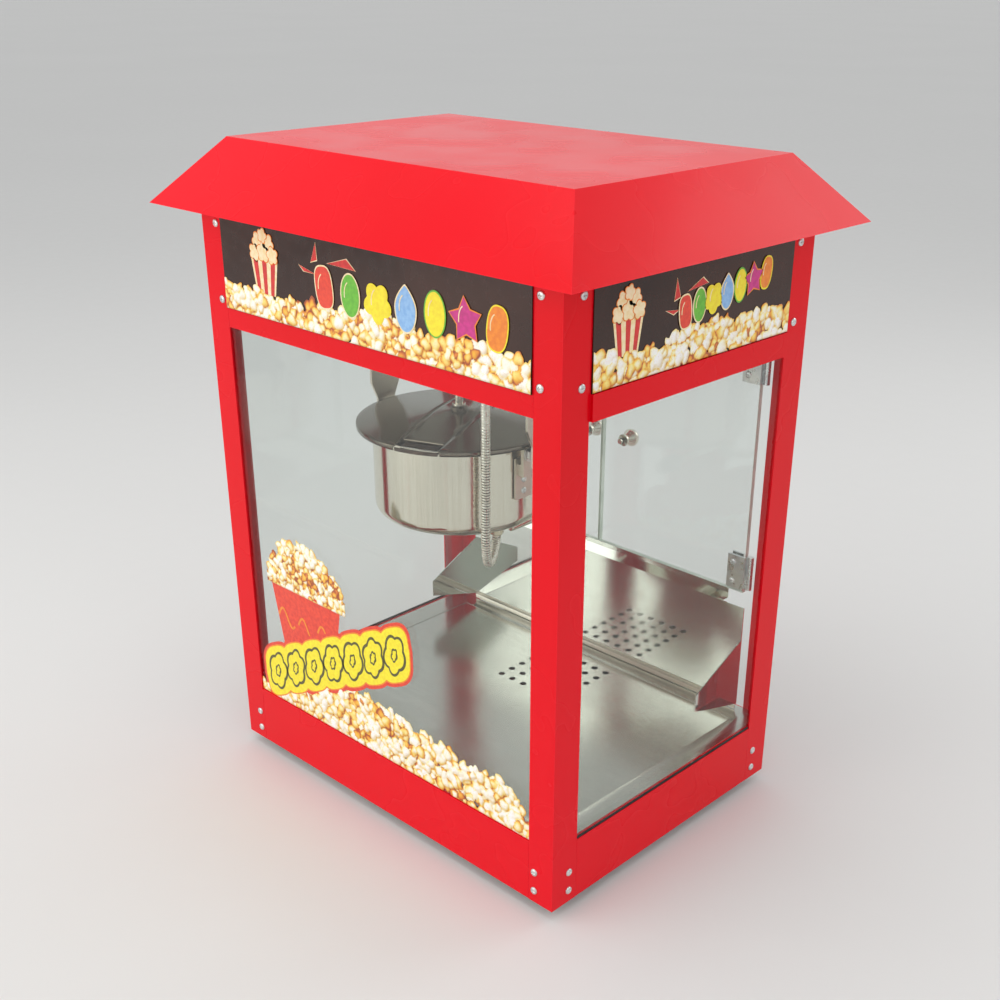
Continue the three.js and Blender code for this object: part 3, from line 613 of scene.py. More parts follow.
def make_stirrer():
    blade_z = BOTTOM_Z + 26
    collar_z = RIM_Z + 13.3
    reach = KETTLE_RADIUS - 18
    shapes = [
        turned_bar(0, 4.4, blade_z, corners("stirrer")[1].z, 0.8, 48),
        turned_bar(4.2, 7, collar_z, collar_z + 3.2, 0.8, 48),
        block(-reach, reach, -2, 2, blade_z, blade_z + 9),
        block(-reach, -reach + 4, -2, 2, blade_z + 8.8, blade_z + 26),
    ]
    turn = Matrix.Rotation(LID_TURN + math.pi / 5, 3, "Z")
    stand_in("stirrer", "stirrer_smooth", at_kettle(merged(shapes), 0, turn), bevel=0.4)


def make_drive():
    low, high = corners("drive_shaft")
    radius = (high.x - low.x) / 2
    neck = high.z - 11
    profile = fillet([(0, low.z), (radius, low.z), (radius, neck), (4, neck), (4, high.z), (0, high.z)], 0.6)
    stand_in("drive_shaft", "drive_coupling", at_kettle(revolve(profile, 48)))


def make_dump_handle():
    low, high = corners("dump_handle")
    grip = centre_of("dump_grip")
    rod = turned_bar(0, 4.5, 0, high.y - low.y, 1.5, 40)
    pad = block(grip.x - 14, grip.x + 4, low.y, low.y + 34, BOTTOM_Z - 4, BOTTOM_Z - 0.3)
    handle = merged([moved(rod, grip.x, low.y, grip.z, TO_PLUS_Y), pad])
    stand_in("dump_handle", "dump_handle_smooth", handle, bevel=0.5)
    ribs = []
    for i in range(6):
        y = 5 + i * 3.4
        ribs += [(9.3, y), (8.5, y + 1.2), (8.5, y + 2.0), (9.3, y + 3.2)]
    ribbed = revolve([(0, 0), (7.4, 0), (8.0, 0.6), *ribs, (9.1, 26), (7.6, 29.6), (4, 30.8), (0, 31)], 48)
    grip_start = corners("dump_grip")[0].y
    stand_in("dump_grip", "dump_grip_ribbed", moved(ribbed, grip.x, grip_start, grip.z, TO_PLUS_Y))


# ---------- kettle cable ----------

def smooth_route(points, per_span):
    """Centripetal Catmull-Rom points through the given ones, which is the curve of the CAD's cable."""
    points = [Vector(p) for p in points]
    ends = [points[0] * 2 - points[1], *points, points[-1] * 2 - points[-2]]
    out = []
    for four in zip(ends, ends[1:], ends[2:], ends[3:]):
        knots = [0.0]
        for a, b in zip(four, four[1:]):
            knots.append(knots[-1] + math.sqrt((b - a).length))
        for k in range(per_span):
            t = knots[1] + (knots[2] - knots[1]) * k / per_span
            row = four
            for spans in (((0, 1), (1, 2), (2, 3)), ((0, 2), (1, 3)), ((1, 2),)):
                row = [a.lerp(b, (t - knots[i]) / (knots[j] - knots[i]))
                       for (i, j), a, b in zip(spans, row, row[1:])]
            out += row
    return out + [points[-1]]


def evenly(points, step):
    """The same line as points a fixed step apart."""
    lengths = [0.0]
    for a, b in zip(points, points[1:]):
        lengths.append(lengths[-1] + (b - a).length)
    marks = np.linspace(0, lengths[-1], round(lengths[-1] / step) + 1)
    table = np.array(points)
    return [Vector(np.array([np.interp(m, lengths, table[:, k]) for k in range(3)])) for m in marks]


def sweep(points, radii, sides):
    """A closed tube along points, with its radius at each point."""
    rings = []
    side = Vector((1, 0, 0))
    for i, (point, radius) in enumerate(zip(points, radii)):
        ahead = points[min(i + 1, len(points) - 1)] - points[max(i - 1, 0)]
        ahead.normalize()
        side = (side - ahead * side.dot(ahead)).normalized()
        up = ahead.cross(side)
        rings.append([point + side * radius * c + up * radius * s for c, s in round_trip(sides)])
    return loft(rings)


# The cable's route has the points of the one in the CAD, in millimetres.
CABLE_RADIUS = 4.8
CABLE_ROUTE = [
    (59, -80, 502.7), (59, -80, 440), (59, -80, 360), (58, -79, 306),
    (52, -70, 287), (40, -52, 284), (26, -32.5, 293), (26, -32, 298.6),
]
CABLE_STEP = 0.28
CABLE_SIDES = 20
TURN_PITCH = 2.8
TURNS_TIGHT_TO = 60
TURNS_OPEN_FROM = 130


def strip_radius(distance):
    """The cable's radius over its turns, which sit tight at the top and open up further down."""
    phase = abs((distance / TURN_PITCH) % 1 - 0.5) * 2
    opened = (distance - TURNS_TIGHT_TO) / (TURNS_OPEN_FROM - TURNS_TIGHT_TO)
    depth = 0.25 + 0.75 * min(1, max(0, opened))
    return CABLE_RADIUS - depth * max(0.0, (phase - 0.45) / 0.55) ** 1.5


def make_cable():
    """The armoured cable: turns of strip with a groove between them."""
    points = evenly(smooth_route(CABLE_ROUTE, 40), CABLE_STEP)
    radii = [strip_radius(i * CABLE_STEP) for i in range(len(points))]
    tube = sweep(points, radii, CABLE_SIDES)
    piece = add_piece("kettle_cable_armour", tube, "armoured_cable", None, sharp=60)
    # The depth of the groove at each point, which the cable's material turns into painted shade.
    grooves = piece.data.attributes.new("groove", "FLOAT", "POINT")
    grooves.data.foreach_set("value", np.repeat(CABLE_RADIUS - np.array(radii), CABLE_SIDES))
    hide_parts("kettle_cable")
    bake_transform(piece)


def make_gland():
    """The hexagon nut at the cable's lower end."""
    centre = centre_of("kettle_gland")
    low, high = (corner.z for corner in corners("kettle_gland"))
    nut = revolve([(0, low), (7.2, low), (8, low + 0.7), (8, high - 0.7), (7.2, high), (0, high)], 6)
    stand_in("kettle_gland", "kettle_gland_nut", moved(nut, centre.x, centre.y), bevel=0.3)


# ---------- fasteners and hardware ----------

def screw_head(radius=4.0, height=2.1, rings=14, steps=40):
    """A domed screw head on +Z with a cross recess."""
    edge = 0.25

    def level(x, y, share):
        """The dome's height, less the recess in it."""
        dome = height * math.sqrt(1 - (share * 0.93) ** 2) if share < 1 else edge
        in_cross = max(abs(x), abs(y)) < radius * 0.56
        recess = 1.1 * max(0.0, 1 - min(abs(x), abs(y)) / 0.75) * in_cross
        return max(edge, dome - recess)

    verts = [(0, 0, height - 1.1)]
    for ring in range(1, rings + 1):
        share = ring / rings
        outline = [(radius * share * c, radius * share * s) for c, s in round_trip(steps)]
        verts += [(x, y, level(x, y, share)) for x, y in outline]
    verts += [(x, y, -0.2) for x, y in outline]
    numbers = [list(range(start, start + steps)) for start in range(1, len(verts), steps)]
    return verts, bridged([[0] * steps, *numbers]) + [numbers[-1]]


def make_corner_screws():
    """Two screws at each level on both faces of all four corners, in the base and in the header."""
    low, high = corners("post_front_right")
    half_x, half_y = high.x, -low.y
    inset = 23.5
    spots = []
    for side in (-1, 1):
        for sign, to_y, to_x in ((-1, TO_MINUS_Y, TO_MINUS_X), (1, TO_PLUS_Y, TO_PLUS_X)):
            spots.append((side * (half_x - inset), sign * half_y, to_y))
            spots.append((sign * half_x, side * (half_y - inset), to_x))
    levels = (25.5, 47, 527, 602)
    heads = [moved(screw_head(), x, y, level, turn) for level in levels for x, y, turn in spots]
    add_piece("cabinet_screws", merged(heads), "zinc_steel", "cabinet")


def make_kettle_fasteners():
    """Two screws in each strap, and a washer and nut on each ear and outside each hanger."""
    washer = turned_bar(4.7, 9, 0, 1.3, 0.4, 48)
    nut = revolve([(4.6, 1.4), (6.4, 1.4), (7.2, 2.0), (7.2, 4.6), (6.4, 5.3), (4.6, 5.3)], 6)
    strap_face, ear_face, hanger_face = 93, 101.7, 117.2
    spots = [(screw_head(3.4, 1.8), strap_face, z) for z in (352, 364)]
    spots += [(part, face, PIVOT_Z) for face in (ear_face, hanger_face) for part in (washer, nut)]
    for (word, side), turn in zip(SIDES, (TO_MINUS_X, TO_PLUS_X)):
        parts = [moved(part, KETTLE.x + side * out, KETTLE.y, z, turn) for part, out, z in spots]
        add_piece(f"trunnion_fasteners_{word}", merged(parts), "zinc_steel", "kettle")


def make_door_knob(word):
    """A round knob on a waisted neck, on the outside of a door."""
    node = f"door_knob_{word}"
    low, high = corners(node)
    knob = centre_of(node)
    neck = 5.3
    profile = [
        (0, 0), (3, 0), (3, neck), (6.6, neck + 0.3), (6.9, neck + 1.6), (5.6, neck + 5),
        *arc(5, 5, neck + 14.2, -40, 90, 10), (2.6, neck + 19.5), (2.2, neck + 18.9), (0, neck + 18.9),
    ]
    scale = (high.y - low.y) / (neck + 20)
    turned = revolve([(r, z * scale) for r, z in profile], 64)
    stand_in(node, f"{node}_smooth", moved(turned, knob.x, low.y, knob.z, TO_PLUS_Y))


def make_door_screws(word, side):
    """Two screws in each of a door's clamps, inside and outside."""
    head = screw_head(3.6, 1.6)
    heads = []
    for level in ("lower", "upper"):
        clamp = f"door_clamp_{level}_{word}"
        faces = ((corners(clamp)[0].y, TO_MINUS_Y), (corners(f"door_{word}")[1].y + 3, TO_PLUS_Y))
        for step in (-11, 11):
            z = centre_of(clamp).z + step
            heads += [moved(head, side * 191, y, z, turn) for y, turn in faces]
    add_piece(f"door_screws_{word}", merged(heads), "zinc_steel", f"door_{word}")


def make_door_hardware():
    for word, side in SIDES:
        make_door_knob(word)
        make_door_screws(word, side)


def make_pane_edges():
    """The ground edges of the two glass doors, which catch the light."""
    ground = moulded("ground_glass", (204, 214, 200), (230, 236, 224), (0.3, 0.5), 500)
    skin = 0.4
    proud = 0.06
    for word, _ in SIDES:
        low, high = corners(f"door_{word}")
        y0, y1 = low.y - proud, high.y + proud
        strips = [
            block(low.x - proud, low.x + skin, y0, y1, low.z, high.z),
            block(high.x - skin, high.x + proud, y0, y1, low.z, high.z),
            block(low.x + skin, high.x - skin, y0, y1, low.z - proud, low.z + skin),
            block(low.x + skin, high.x - skin, y0, y1, high.z - skin, high.z + proud),
        ]
        add_piece(f"door_edges_{word}", merged(strips), "clear_glass", f"door_{word}", [ground])


def make_feet():
    for end in ("front", "rear"):
        for word, _ in SIDES:
            node = f"foot_{end}_{word}"
            centre = centre_of(node)
            top = corners(node)[1].z
            profile = [(0, 3), (5, 3), (5, 0.4), (5.4, 0), *arc(1, 11.6, 1, -90, -20, 4), (14.6, 8.2),
                       *arc(0.8, 14.2, 9, 0, 60, 3), (14.4, 10), (15, 10.3), (15, top), (0, top)]
            stand_in(node, f"{node}_turned", moved(revolve(profile, 64), centre.x, centre.y))


def make_lamp():
    low, high = corners("lamp_bulb")
    centre = centre_of("lamp_bulb")
    radius = (high.x - low.x) / 2
    tall = high.z - low.z
    outline = fillet([(0, 0), (radius * 0.5, 0.4), (radius * 0.97, tall * 0.28), (radius * 0.93, tall * 0.56),
                      (radius * 0.62, tall * 0.86), (radius * 0.56, tall), (0, tall)], 14, 8)
    frosted = moulded("frosted_bulb", (240, 236, 224), (250, 246, 236), (0.2, 0.35), 300, Coat_Weight=0.5)
    bulb = moved(revolve(outline, 64), centre.x, centre.y, low.z)
    stand_in("lamp_bulb", "lamp_bulb_smooth", bulb, materials=[frosted])


def make_floor_flange():
    """The steel flange that slopes from the floor tray up to the panes."""
    low, high = corners("floor_tray")
    floor_z = low.z + 1.2
    outer = (-235.9, -169.9, 235.9, 165.9)
    bend = (low.x - 2, low.y - 2, high.x + 2, high.y + 2)
    inner = (low.x + 12, low.y + 12, high.x - 12, high.y - 9)
    levels = ((outer, SILL_Z + 0.1), (outer, SILL_Z + 0.6), (bend, SILL_Z + 0.6), (inner, floor_z + 0.4),
              (inner, floor_z + 0.1))
    rings = [[(x0, y0, z), (x1, y0, z), (x1, y1, z), (x0, y1, z)] for (x0, y0, x1, y1), z in levels]
    add_piece("floor_flange", loft(rings, closed=True), "stainless_satin", "cabinet")


def make_sill_plates():
    """The plates round the flap's hinge on the rear sill."""
    low, high = corners("flap_hinge_leaf")
    spans = [
        (-235.5, low.x - 0.4, 166.2, 174.2),
        (high.x + 0.4, 235.5, 166.2, 174.2),
        (low.x - 0.2, high.x + 0.2, high.y + 0.3, 175.6),
    ]
    plates = [block(*span, SILL_Z + 0.1, SILL_Z + 0.6) for span in spans]
    add_piece("sill_plates", merged(plates), "stainless_satin", "cabinet", bevel=0.2)


def make_flap_hem():
    """The bright strip with a groove along the foot of the serving flap's plate."""
    plate_front = corners("flap_hinge_leaf")[0].y - 1.1
    foot_z = SILL_Z + 1.5
    profile = [(0, 0), (1.1, 0.2), (1.3, 4.3), (0.7, 4.8), (0.7, 5.3), (1.3, 5.8), (1.1, 9.2), (0, 9.5)]
    ends = [[(x, plate_front - out, foot_z + rise) for out, rise in profile] for x in (-206, 206)]
    add_piece("flap_hem", loft(ends), "stainless_satin", "flap", [SHEET_STEEL], sharp=60)


def make_glazing_beads():
    """Black beads between the foot of each side pane and the base."""
    beads = [block(x, x + 1.2, -141, 141, 79.6, 82.2) for x in (-241.5, 240.3)]
    add_piece("glazing_beads", merged(beads), "rubber", "cabinet", bevel=0.4)


def make_switch_marks():
    """A bar and a ring on each rocker, as on any mains switch."""
    ring = revolve([(2.1, 0), (2.9, 0), (2.9, 0.25), (2.1, 0.25)], 32)
    bar = block(-0.4, 0.4, -2.6, 2.6, 0, 0.25)
    tilt = Matrix.Rotation(math.radians(-9), 3, "X")
    marks = []
    for shape, level, slope in ((ring, -6.2, -7), (bar, 6.2, 7)):
        lean = Matrix.Rotation(math.radians(slope), 3, "X") @ TO_PLUS_Y
        depth = 1 + 1.5 * abs(level) / 12
        marks.append(moved(moved(shape, 0, depth, level, lean), turn=tilt))
    face = corners("switch_plate")[1].y - 1.0
    for node in ("rocker_heat", "rocker_stir", "rocker_light"):
        centre = centre_of(node)
        shape = moved(merged(marks), centre.x, face, centre.z)
        add_piece(f"{node}_marks", shape, "switch_red", BODY_OF[node], [INKS["cream"]])


# ---------- printed films ----------

class Face:
    """A flat outside face of the cabinet, with u to the right as it is looked at and v up."""

    def __init__(self, node, axis, sign):
        self.axis = axis
        self.sign = sign
        low, high = corners(node)
        self.level = abs(getattr(high if sign > 0 else low, axis))

    def point(self, u, v, out):
        depth = self.sign * (self.level + out)
        if self.axis == "y":
            return (-self.sign * u, depth, v)
        return (depth, self.sign * u, v)


class Artwork:
    """Flat shapes stacked as thin films on one face."""

    def __init__(self, face):
        self.face = face
        self.films = []
        self.inks = []

    def add(self, outline, layer, colour):
        """A closed film. Layer 1 lies on the panel, and each further one lies on the last."""
        back = 0.1 + 0.12 * (layer - 1)
        film = loft([[self.face.point(u, v, out) for u, v in outline] for out in (back, back + 0.1)])
        self.films.append(film)
        self.inks += [colour] * len(film[1])

    def add_bordered(self, outline, margin, layer, colour, border):
        """A film on a larger one of another ink, which shows as its border."""
        self.add(grown(outline, margin), layer, border)
        self.add(outline, layer + 1, colour)

    def build(self, name):
        used = list(dict.fromkeys(self.inks))
        materials = [INKS[colour] for colour in used]
        piece = add_piece(name, merged(self.films), "printed_panel", "cabinet", materials, sharp=30)
        for polygon, colour in zip(piece.data.polygons, self.inks):
            polygon.material_index = used.index(colour)


def disc(u, v, ru, rv, steps=40):
    return [(u + ru * c, v + rv * s) for c, s in round_trip(steps)]


def star(u, v, radius, points, waist, tilt):
    out = []
    for i in range(points * 2):
        reach = radius if i % 2 == 0 else radius * waist
        turn = math.pi / 2 + tilt + math.pi * i / points
        out.append((u + reach * math.cos(turn), v + reach * math.sin(turn)))
    return out


def petals(u, v, radius, lobes, depth, tilt, steps=60):
    """A rounded cloud, like a cartoon of one popped kernel."""
    out = []
    for i, (c, s) in enumerate(round_trip(steps)):
        turn = 2 * math.pi * i / steps
        reach = radius * (1 - depth + depth * abs(math.cos(lobes * (turn + tilt) / 2)) * 2 - depth)
        out.append((u + reach * c, v + reach * s))
    return out


def squared(u, v, ru, rv, power, tilt, steps=48):
    """A square with bulging sides and round corners."""
    out = []
    for c, s in round_trip(steps):
        a = ru * math.copysign(abs(c) ** (2 / power), c)
        b = rv * math.copysign(abs(s) ** (2 / power), s)
        out.append((u + a * math.cos(tilt) - b * math.sin(tilt), v + a * math.sin(tilt) + b * math.cos(tilt)))
    return out


def drop(u, v, ru, rv, steps=48):
    """An oval that narrows towards its top."""
    return [(u + ru * c * (1 - 0.62 * max(0.0, s) ** 2), v + rv * s) for c, s in round_trip(steps)]


def grown(outline, by):
    """An outline pushed out from its own middle, for the border behind a shape."""
    middle_u = sum(u for u, _ in outline) / len(outline)
    middle_v = sum(v for _, v in outline) / len(outline)
    out = []
    for u, v in outline:
        reach = Vector((u - middle_u, v - middle_v)).normalized() * by
        out.append((u + reach.x, v + reach.y))
    return out


def ribbon(points, half):
    """A stripe of even width along a line."""
    left, right = [], []
    for i, (u, v) in enumerate(points):
        ahead = Vector(points[min(i + 1, len(points) - 1)]) - Vector(points[max(i - 1, 0)])
        side = Vector((-ahead.y, ahead.x)).normalized() * half
        left.append((u + side.x, v + side.y))
        right.append((u - side.x, v - side.y))
    return left + right[::-1]


# ---------- printed popcorn ----------

POPCORN = popcorn_print()
CELL = 0.9
WARMTH = [0.0, 0.3, 0.5, 0.7, 0.88, 1.0]
TONES = np.array([rgb(*tone)[:3] for tone in (
    (255, 254, 248), (255, 250, 222), (254, 232, 132), (248, 190, 52), (226, 128, 34), (168, 76, 26),
)])


def heap_centres(span, floor, top, size, chance):
    """Where the kernels lie, on a shaken grid between floor(u) and top(u)."""
    centres = []
    step = size * 0.5
    u = span[0] - size / 2
    while u < span[1] + size / 2:
        v = floor(u)
        ceiling = top(u) - size * 0.4
        while v < ceiling + step:
            level = min(v + chance.uniform(-0.2, 0.2) * size, ceiling + chance.uniform(-0.22, 0.1) * size)
            centres.append((u + chance.uniform(-0.2, 0.2) * size, level))
            v += step
        u += step
    return centres


def kernel_lobes(centres, size, chance):
    """Each popped kernel is oval lobes about a hull: u, v, radius, lift, warmth, stretch and angle."""
    lobes = []
    for u, v in centres:
        lift = chance.uniform(0, 0.8) * size
        turn = chance.uniform(0, math.tau)
        count = chance.randint(3, 5)
        warm = chance.choice((0, 0, 0.05, 0.15, 0.4))
        for i in range(count):
            angle = turn + math.tau * i / count + chance.uniform(-0.35, 0.35)
            away = size * chance.uniform(0.16, 0.32)
            lobes.append((u + away * math.cos(angle), v + away * math.sin(angle),
                          size * chance.uniform(0.19, 0.31), lift + size * chance.uniform(-0.08, 0.1),
                          warm + chance.choice((0, 0, 0.05, 0.3)), chance.uniform(0.7, 1.0), angle))
        hull_warmth = warm + chance.choice((0.25, 0.45, 0.6))
        lobes.append((u, v, size * 0.2, lift + 0.02 * size, hull_warmth, 1.0, 0.0))
    return lobes


def smoothed(field, rounds):
    for _ in range(rounds):
        field = (field + np.roll(field, 1, 0) + np.roll(field, -1, 0) + np.roll(field, 1, 1)
                 + np.roll(field, -1, 1)) / 5
    return field


def ripple(shape, dice, rounds, reach):
    """Smooth random waves between about -reach and reach."""
    field = smoothed(dice.standard_normal(shape), rounds)
    return field * (reach / field.std() / 1.6)


def piled_up(lobes, us, vs, dice):
    """The lobes over a grid: how far inside them a point is, the height of the highest, and its warmth."""
    shape = (len(us), len(vs))
    bent_u = us[:, None] + ripple(shape, dice, 12, 1.3)
    bent_v = vs[None, :] + ripple(shape, dice, 12, 1.3)
    cover = np.full(shape, -1.0)
    height = np.full(shape, -1e3)
    warmth = np.full(shape, 1.0)
    for cu, cv, radius, lift, warm, stretch, angle in lobes:
        reach = radius + 4 * CELL
        i0, i1 = np.searchsorted(us, (cu - reach, cu + reach))
        j0, j1 = np.searchsorted(vs, (cv - reach, cv + reach))
        if i0 >= i1 or j0 >= j1:
            continue
        part = np.s_[i0:i1, j0:j1]
        du, dv = bent_u[part] - cu, bent_v[part] - cv
        along = du * math.cos(angle) + dv * math.sin(angle)
        across = (dv * math.cos(angle) - du * math.sin(angle)) / stretch
        far = np.hypot(along, across) / radius
        cover[part] = np.maximum(cover[part], (1 - far) * radius)
        rise = lift + radius * np.sqrt(np.clip(1 - far ** 2, 0, 1))
        wins = (far < 1) & (rise > height[part])
        height[part] = np.where(wins, rise, height[part])
        warmth[part] = np.where(wins, warm + 0.55 * np.clip(far, 0, 1) ** 3, warmth[part])
    return cover, np.where(height < -100, 0, height), warmth


def popcorn_colours(height, warmth, size, dice):
    """Warmer tones down in the gaps, lit from the upper left."""
    sunk = np.clip((smoothed(height, 10) - height) / (size * 0.2), 0, 1)
    warmth = np.clip(warmth + 0.5 * sunk + ripple(height.shape, dice, 20, 0.12), 0, 1)
    colour = np.stack([np.interp(warmth, WARMTH, TONES[:, k]) for k in range(3)], axis=-1)
    slope_u, slope_v = (np.clip(g / CELL, -1.2, 1.2) for g in np.gradient(smoothed(height, 1)))
    light = (0.5 * slope_u - 0.62 * slope_v + 0.85) / np.sqrt(1 + slope_u ** 2 + slope_v ** 2)
    shade = np.clip(0.72 + 0.36 * light, 0.45, 1.04)[..., None]
    return np.clip(colour * shade ** np.array([0.6, 0.95, 1.4]), 0, 1)


def popcorn_film(name, face, span, floor, top, seed, size=24.0, out=0.25):
    """A film cut to the outline of heaped popcorn between floor(u) and top(u), in low relief."""
    chance = random.Random(seed)
    lobes = kernel_lobes(heap_centres(span, floor, top, size, chance), size, chance)
    lowest = min(floor(span[0] + (span[1] - span[0]) * i / 60) for i in range(61))
    highest = max(lobe[1] + lobe[2] for lobe in lobes) + 3 * CELL
    us = np.linspace(span[0], span[1], round((span[1] - span[0]) / CELL) + 1)
    vs = np.arange(lowest, highest, CELL)
    dice = np.random.default_rng(seed)
    cover, height, warmth = piled_up(lobes, us, vs, dice)
    above_floor = vs[None, :] - np.array([floor(u) for u in us])[:, None]
    cover = np.minimum(cover, above_floor + CELL * 0.5)
    colour = popcorn_colours(height, warmth, size, dice)
    relief = out + 0.3 * np.clip(height / (size * 1.2), 0, 1)
    cut_film(name, face, us, vs, cover, relief, colour)


def cut_film(name, face, us, vs, cover, relief, colour):
    """Turns the grid into a mesh whose edge follows the line where the cover runs out."""
    shown = cover > 0
    verts, tones, index, faces = [], [], {}, []

    def number(key, u, v, cell):
        """The number of a point, which takes its relief and tone from a cell."""
        if key not in index:
            index[key] = len(verts)
            verts.append(face.point(u, v, relief[cell]))
            tones.append(colour[cell])
        return index[key]

    def crossing(a, b):
        inner, outer = (a, b) if shown[a] else (b, a)
        share = cover[inner] / (cover[inner] - cover[outer])
        u = us[inner[0]] + (us[outer[0]] - us[inner[0]]) * share
        v = vs[inner[1]] + (vs[outer[1]] - vs[inner[1]]) * share
        return number((inner, outer), u, v, inner)

    for i in range(len(us) - 1):
        for j in range(len(vs) - 1):
            ring = [(i, j), (i + 1, j), (i + 1, j + 1), (i, j + 1)]
            outline = []
            for a, b in zip(ring, ring[1:] + ring[:1]):
                if shown[a]:
                    outline.append(number(a, us[a[0]], vs[a[1]], a))
                if shown[a] != shown[b]:
                    outline.append(crossing(a, b))
            if len(outline) > 2:
                faces.append(outline)
    piece = add_piece(name, (verts, faces), "printed_panel", "cabinet", [POPCORN], sharp=80, solid=0.2)
    stored = piece.data.attributes.new("tone", "FLOAT_COLOR", "POINT")
    stored.data.foreach_set("color", np.pad(tones, ((0, 0), (0, 1)), constant_values=1).ravel())


def through(points):
    """A function that runs straight between points."""
    us, vs = zip(*points)
    return lambda u: float(np.interp(u, us, vs))


HEADER_INKS = (
    ("scarlet", "cream"), ("green", "cream"), ("yellow", "yellow"), ("blue", "cream"),
    ("yellow", "green"), ("magenta", "orange"), ("orange", "yellow"),
)


def header_outlines(places, ru, rv):
    """The seven shapes in the header's row."""
    makers = (
        lambda u, v: squared(u, v, ru * 0.86, rv * 0.94, 3.0, 0.12),
        lambda u, v: disc(u, v, ru * 0.9, rv * 0.95),
        lambda u, v: petals(u, v, (ru + rv) * 0.52, 5, 0.14, 0.3),
        lambda u, v: drop(u, v, ru * 0.95, rv),
        lambda u, v: disc(u, v, ru * 0.9, rv * 0.95),
        lambda u, v: star(u, v, rv * 0.98, 5, 0.55, 0.1),
        lambda u, v: squared(u, v, ru * 0.82, rv * 0.92, 2.6, -0.14),
    )
    return [maker(*place) for maker, place in zip(makers, places)]


def small_tub(art, u, v, scale):
    """A striped tub of popcorn in plain shapes."""
    def at(a, b):
        return (u + a * scale, v + b * scale)

    art.add([at(-9.5, -14), at(9.5, -14), at(13.5, 8), at(-13.5, 8)], 1, "cream")
    for i in (-1, 0, 1):
        low, high = i * 6.4, i * 9.0
        art.add([at(low - 1.6, -14), at(low + 1.6, -14), at(high + 2.3, 8), at(high - 2.3, 8)], 2, "red")
    art.add(disc(*at(0, 14), 10 * scale, 7 * scale), 1, "orange")
    heap = ((-9, 11, 5.4), (0, 12, 6.2), (9, 11, 5.4), (-5, 18, 5.6), (5, 18, 5.6), (0, 22, 4.4))
    for i, (a, b, radius) in enumerate(heap):
        for more, layer, colour in ((0.7, 2, "orange"), (0, 3, "cream")):
            cloud = petals(*at(a, b), (radius + more) * scale, 5, 0.14, i)
            art.add(cloud, layer + i % 3 * 2, colour)


def header_art(word, face, half, places, size, seed, tub, rays):
    """A band of popcorn, a row of shapes with a shine on each, three rays and a tub."""
    band = through([(-half, 551), (-half * 0.6, 547), (-half * 0.2, 553), (half * 0.1, 556),
                    (half * 0.5, 551), (half * 0.75, 554), (half, 551)])
    foot = corners("print_panel_front")[0].z + 0.4
    name = f"header_art_{word}"
    popcorn_film(f"{name}_popcorn", face, (-half, half), lambda u: foot, band, seed, out=0.3)
    art = Artwork(face)
    ru, rv = size
    for outline, (u, v), (colour, border) in zip(header_outlines(places, ru, rv), places, HEADER_INKS):
        art.add_bordered(outline, 1.5, 6, colour, border)
        turns = [math.radians(112 + 10 * i) for i in range(9)]
        shine = [(u + ru * 0.58 * math.cos(t), v + rv * 0.62 * math.sin(t)) for t in turns]
        art.add(ribbon(shine, 0.55), 8, "cream")
    for ray in rays:
        art.add_bordered(ray, 1.1, 1, "red", "cream")
    small_tub(art, *tub)
    art.build(f"{name}_shapes")


def make_header_art():
    panel = "print_panel_front"
    places = [(-51 + 37.2 * i, 565.5 - 4.5 * math.sin(i * 0.9) * 0.5) for i in range(7)]
    rays = [[(-61, 604), (-69, 586), (-60, 589)], [(-87, 581), (-63, 575.5), (-80, 576)],
            [(-45, 588), (-18, 595.5), (-6, 587)]]
    half = corners(panel)[1].x - 0.5
    header_art("front", Face(panel, "y", -1), half, places, (13.6, 20.0), 11, (-141, 566, 1.55), rays)
    places = [(-22 + 19.8 * i, 567 + 2.6 * i) for i in range(7)]
    rays = [[(-35, 597), (-37.5, 579), (-29.5, 581)], [(-48.5, 572), (-38, 567.5), (-30.5, 570)],
            [(-19, 584), (1, 592.5), (9, 587)]]
    for (word, sign), seed in zip(SIDES, (23, 37)):
        panel = f"print_panel_{word}"
        half = corners(panel)[1].y - 0.5
        header_art(word, Face(panel, "x", sign), half, places, (9.2, 15.0), seed, (-98, 564, 1.45), rays)


# The blank banner slants up from left to right, with a row of rosettes along its middle.
BANNER_TILT = math.radians(25.2)
BANNER_ALONG = Vector((math.cos(BANNER_TILT), math.sin(BANNER_TILT)))
BANNER_UP = Vector((-math.sin(BANNER_TILT) * 0.25, 1.0)).normalized()
BANNER_MIDDLE = Vector((-77, 163))
ROSETTES = [-111 + 37 * i for i in range(7)]


def banner(grow):
    """The outline round all the rosettes in a row, pushed out by a margin."""
    half_wide, half_tall = 17 + grow, 22 + grow
    marks = np.linspace(ROSETTES[0] - half_wide, ROSETTES[-1] + half_wide, 140)
    upper, lower = [], []
    for mark in marks:
        near = min(abs(mark - place) for place in ROSETTES) / half_wide
        rise = half_tall * (1 - min(1, near) ** 3) ** (1 / 3)
        middle = BANNER_MIDDLE + BANNER_ALONG * mark
        upper.append(tuple(middle + BANNER_UP * rise))
        lower.append(tuple(middle - BANNER_UP * rise))
    return upper[:-1] + lower[:0:-1]


def add_rosette(art, i, place):
    """A slanted flower in a dark border, with a dark ring in its middle."""
    spot = BANNER_MIDDLE + BANNER_ALONG * place
    offsets = [(u - spot.x, v - spot.y) for u, v in petals(*spot, 17.5, 5 + i % 2, 0.1, i * 0.7)]
    shape = [(spot.x + u * 0.86, spot.y + v * 1.22 + u * 0.3) for u, v in offsets]
    core = [(spot.x + (u - spot.x) * 0.36, spot.y + (v - spot.y) * 0.4) for u, v in shape]
    art.add_bordered(shape, 3.2, 6, "yellow", "olive")
    art.add(core, 8, "olive")
    art.add(grown(core, -2.4), 9, "yellow")


